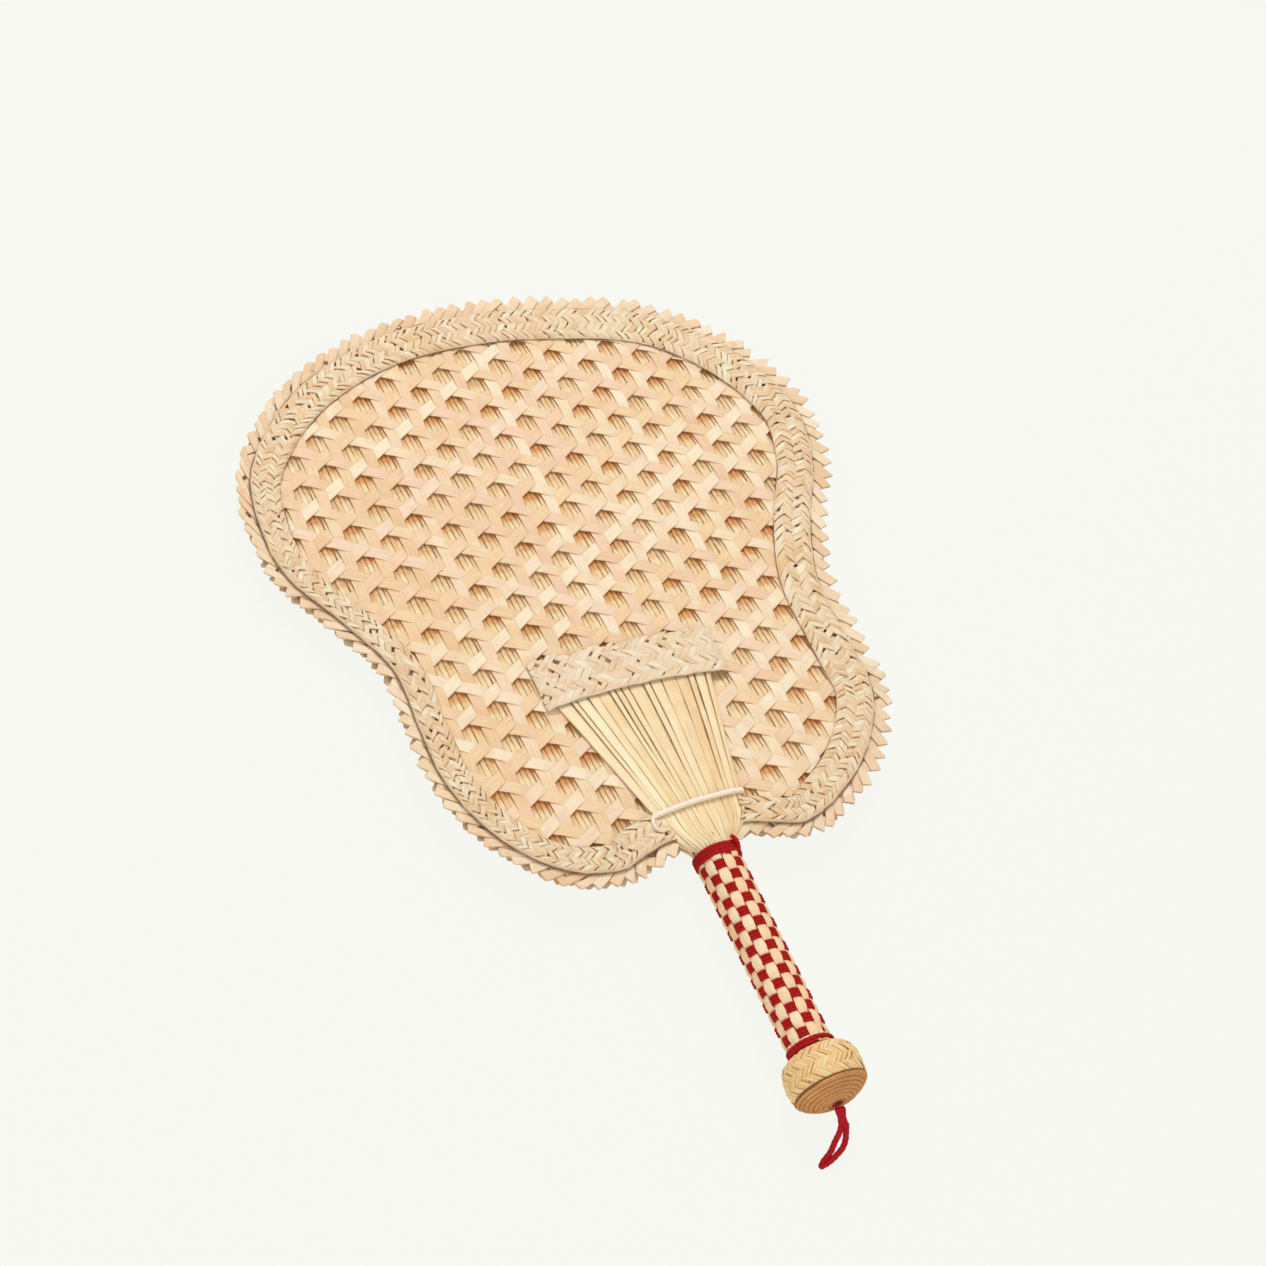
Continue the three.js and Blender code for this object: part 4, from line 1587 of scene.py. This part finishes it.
@dataclass(frozen=True)
class YarnFinish:
    """Spun cord, with slanting fibres."""

    name: str
    body: tuple[int, int, int]
    dark: tuple[int, int, int]
    roughness: float = 0.85
    relief: float = 0.5

    def material(self) -> bpy.types.Material:
        """Makes the material.

        Returns:
            The new material.
        """
        sheet = ShaderSheet(self.name)
        along, across, number = sheet.strip_places()
        slant = sheet.plus(sheet.times(along, 14.0), sheet.times(across, 5.0))
        fibres = sheet.noise(sheet.pack(slant, sheet.times(across, 9.0), number), 3.0)
        colour = sheet.mix(from_screen(*self.dark), from_screen(*self.body), sheet.rise(fibres, 0.3, 0.6))
        sheet.dress(colour, self.roughness, fibres, self.relief)
        return sheet.material


Finish = StripFinish | SolidFinish | YarnFinish


def material_of(finish: Finish) -> bpy.types.Material:
    """A finish's material, made the first time that it is asked for."""
    return bpy.data.materials.get(finish.name) or finish.material()


def feed(node: bpy.types.Node, inputs: dict[str | int, object]) -> None:
    """Sets a node's inputs, and links those whose value is another node's output.

    Args:
        node: the node.
        inputs: its inputs by name or by number, as values or as other nodes' outputs.
    """
    for name, value in inputs.items():
        if isinstance(value, bpy.types.NodeSocket):
            node.id_data.links.new(value, node.inputs[name])
        else:
            node.inputs[name].default_value = value


def add_node(
    tree: bpy.types.NodeTree, kind: str, inputs: dict[str | int, object] | None = None, **settings: object,
) -> bpy.types.Node:
    """Adds a shader node.

    Args:
        tree: the nodes that it joins.
        kind: the last part of its type's name.
        inputs: its inputs by name or by number, as values or as other nodes' outputs.
        settings: its own settings.

    Returns:
        The node.
    """
    node = tree.nodes.new(f"ShaderNode{kind}")
    for name, value in settings.items():
        setattr(node, name, value)
    feed(node, inputs or {})
    return node


class ShaderSheet:
    """A material's nodes, added one after another."""

    def __init__(self, name: str) -> None:
        """Starts a material with its shader.

        Args:
            name: the material's name.
        """
        self.material = bpy.data.materials.new(name)
        self.material.use_nodes = True
        self.shader = self.material.node_tree.nodes["Principled BSDF"]

    def _add(
        self, kind: str, inputs: dict[str | int, object] | None = None, **settings: object,
    ) -> bpy.types.Node:
        """Adds a node to the material."""
        return add_node(self.material.node_tree, kind, inputs, **settings)

    def calc(self, operation: str, *values: object) -> bpy.types.NodeSocket:
        """What one of the math node's operations makes of one or more values."""
        return self._add("Math", dict(enumerate(values)), operation=operation).outputs[0]

    def times(self, value: object, factor: object) -> bpy.types.NodeSocket:
        """A value times a factor."""
        return self.calc("MULTIPLY", value, factor)

    def plus(self, value: object, other: object) -> bpy.types.NodeSocket:
        """A value plus another."""
        return self.calc("ADD", value, other)

    def strip_places(self) -> tuple[bpy.types.NodeSocket, ...]:
        """Where a place lies on its strip.

        Returns:
            The place along the strip in centimetres, across it from 0 to 1, and the strip's number.
        """
        source = self._add("UVMap", uv_map=STRIP_MAP)
        parts = self._add("SeparateXYZ", {0: source.outputs[0]})
        number = self.calc("FLOOR", parts.outputs[1])
        return parts.outputs[0], self.calc("FRACT", parts.outputs[1]), number

    def stretched(self, factors: tuple[float, float, float]) -> bpy.types.NodeSocket:
        """The place in the model's own axes, drawn out along each of them."""
        place = self._add("TexCoord").outputs["Object"]
        return self._add("Mapping", {"Scale": factors, "Vector": place}).outputs[0]

    def painted_shade(self) -> bpy.types.NodeSocket:
        """How much painted shade a place gets where it lies recessed, from 0 to 1."""
        return self._add("Attribute", attribute_name=PAINTED_SHADE).outputs["Fac"]

    def off_middle(self, across: object) -> bpy.types.NodeSocket:
        """How far a place is from the strip's middle, from 0 to 1."""
        return self.times(self.calc("ABSOLUTE", self.plus(across, -0.5)), 2.0)

    def pack(self, *parts: object) -> bpy.types.NodeSocket:
        """A point from its parts, of which the third is 0 where it isn't given."""
        return self._add("CombineXYZ", dict(enumerate(parts))).outputs[0]

    def chance(self, number: object, seed: float) -> bpy.types.NodeSocket:
        """A value of 0 to 1 that differs from strip to strip."""
        place = self.plus(number, seed)
        return self._add("TexWhiteNoise", {"W": place}, noise_dimensions="1D").outputs["Value"]

    def noise(self, point: object, detail: float) -> bpy.types.NodeSocket:
        """Cloudy noise at a point."""
        return self._add("TexNoise", {"Vector": point, "Scale": 1.0, "Detail": detail}).outputs[0]

    def rise(self, value: object, low: float, high: float) -> bpy.types.NodeSocket:
        """0 below one value, 1 above another, with a smooth rise between."""
        inputs = {"Value": value, "From Min": low, "From Max": high}
        return self._add("MapRange", inputs, interpolation_type="SMOOTHSTEP").outputs[0]

    def ramp(self, value: object, colours: list[tuple]) -> bpy.types.NodeSocket:
        """A colour along a row of colours.

        Args:
            value: the place along the row, from 0 to 1.
            colours: the row, evenly spaced.

        Returns:
            The colour there.
        """
        node = self._add("ValToRGB", {0: value})
        stops = node.color_ramp.elements
        for place, colour in enumerate(colours):
            share = place / (len(colours) - 1)
            stop = stops[place] if place < 2 else stops.new(share)
            stop.position = share
            stop.color = colour
        return node.outputs[0]

    def mix(self, first: object, second: object, share: object) -> bpy.types.NodeSocket:
        """A mix of two colours."""
        return self._add("Mix", {0: share, 6: first, 7: second}, data_type="RGBA").outputs[2]

    def multiply(self, colour: object, value: object, low: float, high: float) -> bpy.types.NodeSocket:
        """A colour made darker or lighter by a value."""
        factor = self._add("MapRange", {"Value": value, "To Min": low, "To Max": high}).outputs[0]
        return self._add("VectorMath", {0: colour, "Scale": factor}, operation="SCALE").outputs[0]

    def bleed(self, weight: float) -> None:
        """Lets some light through the thin straw, which warms its shadows.

        Args:
            weight: how much of the light.
        """
        feed(self.shader, {
            "Subsurface Weight": weight,
            "Subsurface Radius": (1.0, 0.5, 0.22),
            "Subsurface Scale": 0.0008,
        })

    def dress(self, colour: object, roughness: float, height: object, relief: float) -> None:
        """Sets the shader's colour, roughness and relief.

        Args:
            colour: the surface's colour.
            roughness: its roughness.
            height: the pattern that the relief follows.
            relief: the relief's strength.
        """
        bump = self._add("Bump", {"Strength": relief, "Distance": 0.00015, "Height": height})
        feed(self.shader, {
            "Base Color": colour,
            "Roughness": roughness,
            "Specular IOR Level": 0.3,
            "Normal": bump.outputs[0],
        })


@dataclass
class Finishes:
    """The fan's materials."""

    weave: StripFinish = StripFinish(
        "open_weave_straw",
        (
            (245, 215, 176), (239, 204, 163), (249, 231, 204),
            (242, 207, 181), (235, 198, 152), (250, 235, 210),
        ),
        edge=(206, 154, 102), edge_share=0.32, streak=0.16,
    )
    # The slats' shade colour, the last one given, is painted shade towards the top of each opening, under
    # the strip above.
    slat: StripFinish = StripFinish(
        "inner_slat_straw", ((252, 228, 184), (246, 212, 162), (253, 236, 200), (240, 200, 148)),
        edge=(186, 126, 62), edge_share=0.6, streak=0.2, deep=(208, 140, 72), uneven=0.5,
    )
    edging: StripFinish = StripFinish(
        "folded_edge_straw",
        ((245, 222, 190), (238, 206, 170), (249, 232, 206), (232, 197, 157), (243, 213, 186)),
        edge=(172, 124, 76), edge_share=0.55, patch=2.0,
    )
    # The plait's shade colour, the last one given, is painted shadow for the dark lines along the band's
    # edges.
    plait: StripFinish = StripFinish(
        "rim_plait_straw",
        ((251, 226, 192), (243, 208, 164), (254, 242, 215), (248, 215, 184), (236, 197, 149)),
        edge=(172, 118, 60), edge_share=0.55, streak=0.26, patch=3.0, deep=(120, 66, 26),
    )
    bar: StripFinish = StripFinish(
        "pocket_plait_straw",
        ((247, 226, 195), (243, 215, 181), (251, 235, 212), (245, 218, 189), (238, 203, 161)),
        edge=(178, 128, 78), edge_share=0.48, streak=0.22, patch=3.0,
    )
    splint: StripFinish = StripFinish(
        "spray_splint_straw",
        ((252, 229, 186), (254, 240, 206), (246, 214, 166), (253, 234, 194), (241, 206, 156)),
        edge=(186, 138, 82), edge_share=0.42, streak=0.2, roughness=0.5,
    )
    warp: StripFinish = StripFinish(
        "grip_warp_straw", ((255, 222, 180), (254, 208, 162), (255, 230, 198)),
        edge=(190, 128, 80), streak=0.18,
    )
    pommel: StripFinish = StripFinish(
        "pommel_plait_straw", ((255, 220, 160), (253, 205, 142), (255, 228, 176), (247, 190, 122)),
        edge=(134, 82, 34), edge_share=0.72, streak=0.22, patch=3.0,
    )
    # The coil's shade colour, the last one given, is painted shade for the groove where the pommel's side
    # meets the coil.
    coil: StripFinish = StripFinish(
        "pommel_coil_straw", ((247, 186, 122), (228, 156, 92), (251, 196, 134)), edge=(120, 66, 26),
        streak=0.45, patch=4.0, deep=(112, 66, 30),
    )
    pith: SolidFinish = SolidFinish("pith_core", (196, 142, 84), (150, 98, 50))
    knot: SolidFinish = SolidFinish("dyed_red_knot", (188, 7, 28), (112, 1, 12))
    yarn: YarnFinish = YarnFinish("dyed_red_yarn", (188, 9, 13), (96, 1, 3))
    cord: YarnFinish = YarnFinish("dyed_red_cord", (192, 8, 30), (116, 2, 14))
    thread: YarnFinish = YarnFinish("off_white_thread", (252, 242, 230), (222, 204, 188))


@dataclass(frozen=True)
class Lamp:
    """A square lamp, with its place in the fan's own axes, its power and its side in metres."""

    name: str
    place: tuple[float, float, float]
    power: float
    size: float


@dataclass
class Studio:
    """The floor, the light and the camera."""

    axes: FanAxes
    sensor_width: float = 36
    focal_pixels: float = 3000
    picture_pixels: float = 1266
    camera_place: tuple[float, float, float] = (-479.38, -596.44, 897.4)
    camera_aim: tuple[float, float, float] = (0.42356, 0.46764, -0.77583)
    camera_up: tuple[float, float, float] = (0.19025, 0.79142, 0.58091)
    backdrop: tuple[int, int, int] = (247, 248, 242)
    floor_size: float = 12
    floor_glow: float = 0.95
    fill_colour: tuple[int, int, int] = (255, 247, 232)
    fill_strength: float = 0.49
    lit_place: tuple[float, float, float] = (0, -30, 0)
    lamps: tuple[Lamp, ...] = (
        Lamp("key_light", (320, 900, 1400), 15.3, 0.45),
        Lamp("front_light", (-200, -1000, 700), 4.0, 0.9),
        Lamp("side_light", (-900, 200, 1100), 3.1, 0.9),
    )

    def build_camera(self) -> None:
        """Places the camera."""
        data = bpy.data.cameras.new("camera")
        data.lens = self.sensor_width * self.focal_pixels / self.picture_pixels
        data.sensor_width = self.sensor_width
        data.clip_end = 20
        camera = bpy.data.objects.new("camera", data)
        bpy.context.scene.collection.objects.link(camera)
        ahead = self.axes.turn(self.camera_aim).normalized()
        up = self.axes.turn(self.camera_up).normalized()
        right = ahead.cross(up).normalized()
        up = right.cross(ahead)
        turn = Matrix((right, up, -ahead)).transposed()
        camera.matrix_world = Matrix.Translation(self.axes.place(self.camera_place)) @ turn.to_4x4()
        bpy.context.scene.camera = camera

    def build_floor(self) -> None:
        """Lays the pale floor."""
        bpy.ops.object.select_all(action="DESELECT")
        bpy.ops.mesh.primitive_plane_add(size=self.floor_size, location=(0, 0, 0))
        floor = bpy.context.active_object
        floor.name = "floor"
        sheet = bpy.data.materials.new("floor")
        sheet.use_nodes = True
        tree = sheet.node_tree
        shader = tree.nodes["Principled BSDF"]
        colour = from_screen(*self.backdrop)
        feed(shader, {"Base Color": colour, "Roughness": 0.9, "Specular IOR Level": 0.1})
        glow = add_node(tree, "Emission", {"Color": colour})
        seen = add_node(tree, "LightPath").outputs["Is Camera Ray"]
        share = add_node(tree, "Math", {0: seen, 1: self.floor_glow}, operation="MULTIPLY")
        mixed = add_node(tree, "MixShader", {0: share.outputs[0], 1: shader.outputs[0], 2: glow.outputs[0]})
        feed(tree.nodes["Material Output"], {"Surface": mixed.outputs[0]})
        floor.data.materials.append(sheet)

    def build_light(self) -> None:
        """Hangs the key light beyond the blade's top, two softer ones, and fills from all round."""
        world = bpy.data.worlds.new("studio")
        bpy.context.scene.world = world
        world.use_nodes = True
        tree = world.node_tree
        fill = tree.nodes["Background"]
        feed(fill, {"Color": from_screen(*self.fill_colour), "Strength": self.fill_strength})
        behind = add_node(tree, "Background", {"Color": from_screen(*self.backdrop)})
        seen = add_node(tree, "LightPath").outputs["Is Camera Ray"]
        mixed = add_node(tree, "MixShader", {0: seen, 1: fill.outputs[0], 2: behind.outputs[0]})
        feed(tree.nodes["World Output"], {"Surface": mixed.outputs[0]})
        for lamp in self.lamps:
            self._hang(lamp)

    def _hang(self, lamp: Lamp) -> None:
        """Hangs one lamp so that it faces the blade.

        Args:
            lamp: the lamp.
        """
        data = bpy.data.lights.new(lamp.name, "AREA")
        data.energy = lamp.power
        data.size = lamp.size
        light = bpy.data.objects.new(lamp.name, data)
        bpy.context.scene.collection.objects.link(light)
        spot = Vector(self.axes.place(lamp.place))
        target = Vector(self.axes.place(self.lit_place))
        light.location = spot
        light.rotation_euler = (target - spot).to_track_quat("-Z", "Y").to_euler()


@dataclass
class HandFan:
    """The whole fan."""

    axes: FanAxes
    finishes: Finishes = field(default_factory=Finishes)
    rim: Rim = field(default_factory=Rim)
    levels: Levels = field(default_factory=Levels)
    spray: Spray = field(default_factory=Spray)
    neck_overlap: float = 0.6
    neck_reach: float = 22.0

    def finish(
        self, piece: bpy.types.Object, finish: Finish, slot: str, *nodes: str, body: str = "fan",
    ) -> bpy.types.Object:
        """Dresses a piece and puts it in its node's place.

        Args:
            piece: the new piece.
            finish: its finish.
            slot: the record's slot for the piece; not used.
            nodes: the nodes that it stands for.
            body: the body that it moves with.

        Returns:
            The piece.
        """
        piece.data.materials.clear()
        piece.data.materials.append(material_of(finish))
        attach(piece, body)
        if nodes:
            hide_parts(*nodes)
        log.info("%s: %d faces", piece.name, len(piece.data.polygons))
        return piece

    def outside_neck(self, points: np.ndarray) -> np.ndarray:
        """Which points lie clear of the splints at the neck.

        Args:
            points: points of the fan.

        Returns:
            True for each point that lies clear.
        """
        x, y = points[:, 0], points[:, 1]
        half = np.full_like(x, 0.5)
        left, right = self.spray.at(-half, y)[:, 0], self.spray.at(half, y)[:, 0]
        beside = (x < left + self.neck_overlap) | (x > right - self.neck_overlap)
        return beside | (y > self.spray.foot_y + self.neck_reach)

    def build_cord(self) -> None:
        """Makes the hanging loop and its neck."""
        cord = HangingCord(self.axes)
        neck = self.finish(cord.build_neck(), self.finishes.cord, "red_cord", "loop_neck", body="loop")
        loop = self.finish(cord.build_loop(), self.finishes.cord, "red_cord", "hanging_loop", body="loop")
        route = self.axes.place(cord.route())

    def build_blade(self) -> None:
        """Makes the blade's layers."""
        weave = OpenWeave(self.rim, self.levels, self.axes)
        edging = ToothedEdging(self.rim, self.levels, self.axes)
        band = SewnPlait(self.rim, self.levels, self.axes)
        slats = SlatLayer(self.rim, weave, self.axes)
        for facing, shift in ((Facing.FRONT, 0.0), (Facing.BACK, 0.5)):
            face = facing.word
            self.finish(slats.build(facing), self.finishes.slat, "weave_strip", "rib_sheet")
            self.finish(weave.build(facing), self.finishes.weave, "weave_strip", f"{face}_weave")
            self.finish(
                edging.build(facing, shift, self.outside_neck), self.finishes.edging, "edge_braid",
                f"{face}_edging",
            )
            self.finish(
                band.build(facing, self.outside_neck), self.finishes.plait, "plait_strip",
                f"{face}_plait",
            )

    def build_splints(self) -> None:
        """Makes the splints, the pocket that holds them and the thread that ties them."""
        splints = SplintSpray(self.spray, self.axes)
        pocket = PocketPlait(self.spray, self.levels, self.axes)
        for facing in Facing:
            face = facing.word
            names = [f"{face}_splint_{number:02d}" for number in range(1, splints.count + 1)]
            self.finish(splints.build(facing), self.finishes.splint, "splint_strip", *names)
            self.finish(pocket.build(facing), self.finishes.bar, "plait_strip", f"{face}_pocket")
        thread = BindingThread(self.spray, self.axes)
        self.finish(thread.build(), self.finishes.thread, "sewing_thread", "binding_thread")

    def build_handle(self) -> None:
        """Makes the grip, its collars and the pommel."""
        grip = Grip(self.axes)
        self.finish(grip.build_warps(), self.finishes.warp, "grip_warp", "grip_sleeve")
        self.finish(grip.build_weft(), self.finishes.yarn, "red_cord", "grip_weft")
        top = Collar(
            "red_top_collar", self.axes, top_y=-154.3, radius=8.4, turns=3.3, pitch=1.42,
            cord_radius=0.95, start=0.6,
            tuck=((0.8, 5.4, 0.1), (0.74, 3.6, 0.6), (0.64, 2.1, 1.0), (0.55, 0.9, 1.1), (0.5, 0.0, 0.8)),
        )
        bottom = Collar(
            "red_bottom_collar", self.axes, top_y=-237.3, radius=8.3, turns=1.62, pitch=1.35,
            cord_radius=1.05, start=2.4,
        )
        self.finish(top.build(), self.finishes.yarn, "red_cord", "top_collar")
        self.finish(bottom.build(), self.finishes.yarn, "red_cord", "bottom_collar")
        pommel = Pommel(self.axes)
        self.finish(pommel.build_base(), self.finishes.pith, "pommel_braid", "pommel_shell")
        self.finish(pommel.build_side(), self.finishes.pommel, "pommel_braid", "pommel_shell")
        self.finish(pommel.build_coil(), self.finishes.coil, "pommel_braid", "pommel_coil")

    def dress_kept_nodes(self) -> None:
        """Gives the nodes that stay their own finish."""
        kept = {
            "handle_core": self.finishes.pith,
            "pommel_core": self.finishes.pith,
            "loop_knot": self.finishes.knot,
        }
        for node, finish in kept.items():
            slots = frame["nodes"][node].data.materials
            slots.clear()
            slots.append(material_of(finish))


def main() -> None:
    logging.basicConfig(level=logging.INFO, format="%(message)s")
    bpy.context.scene.view_settings.view_transform = "Standard"
    axes = FanAxes.from_hinge(frame["joints"][0], HangingCord.mouth_y)
    studio = Studio(axes)
    studio.build_camera()
    fan = HandFan(axes)
    fan.build_cord()
    fan.build_blade()
    fan.build_splints()
    fan.build_handle()
    fan.dress_kept_nodes()
    studio.build_floor()
    studio.build_light()


if __name__ == "__main__":
    main()
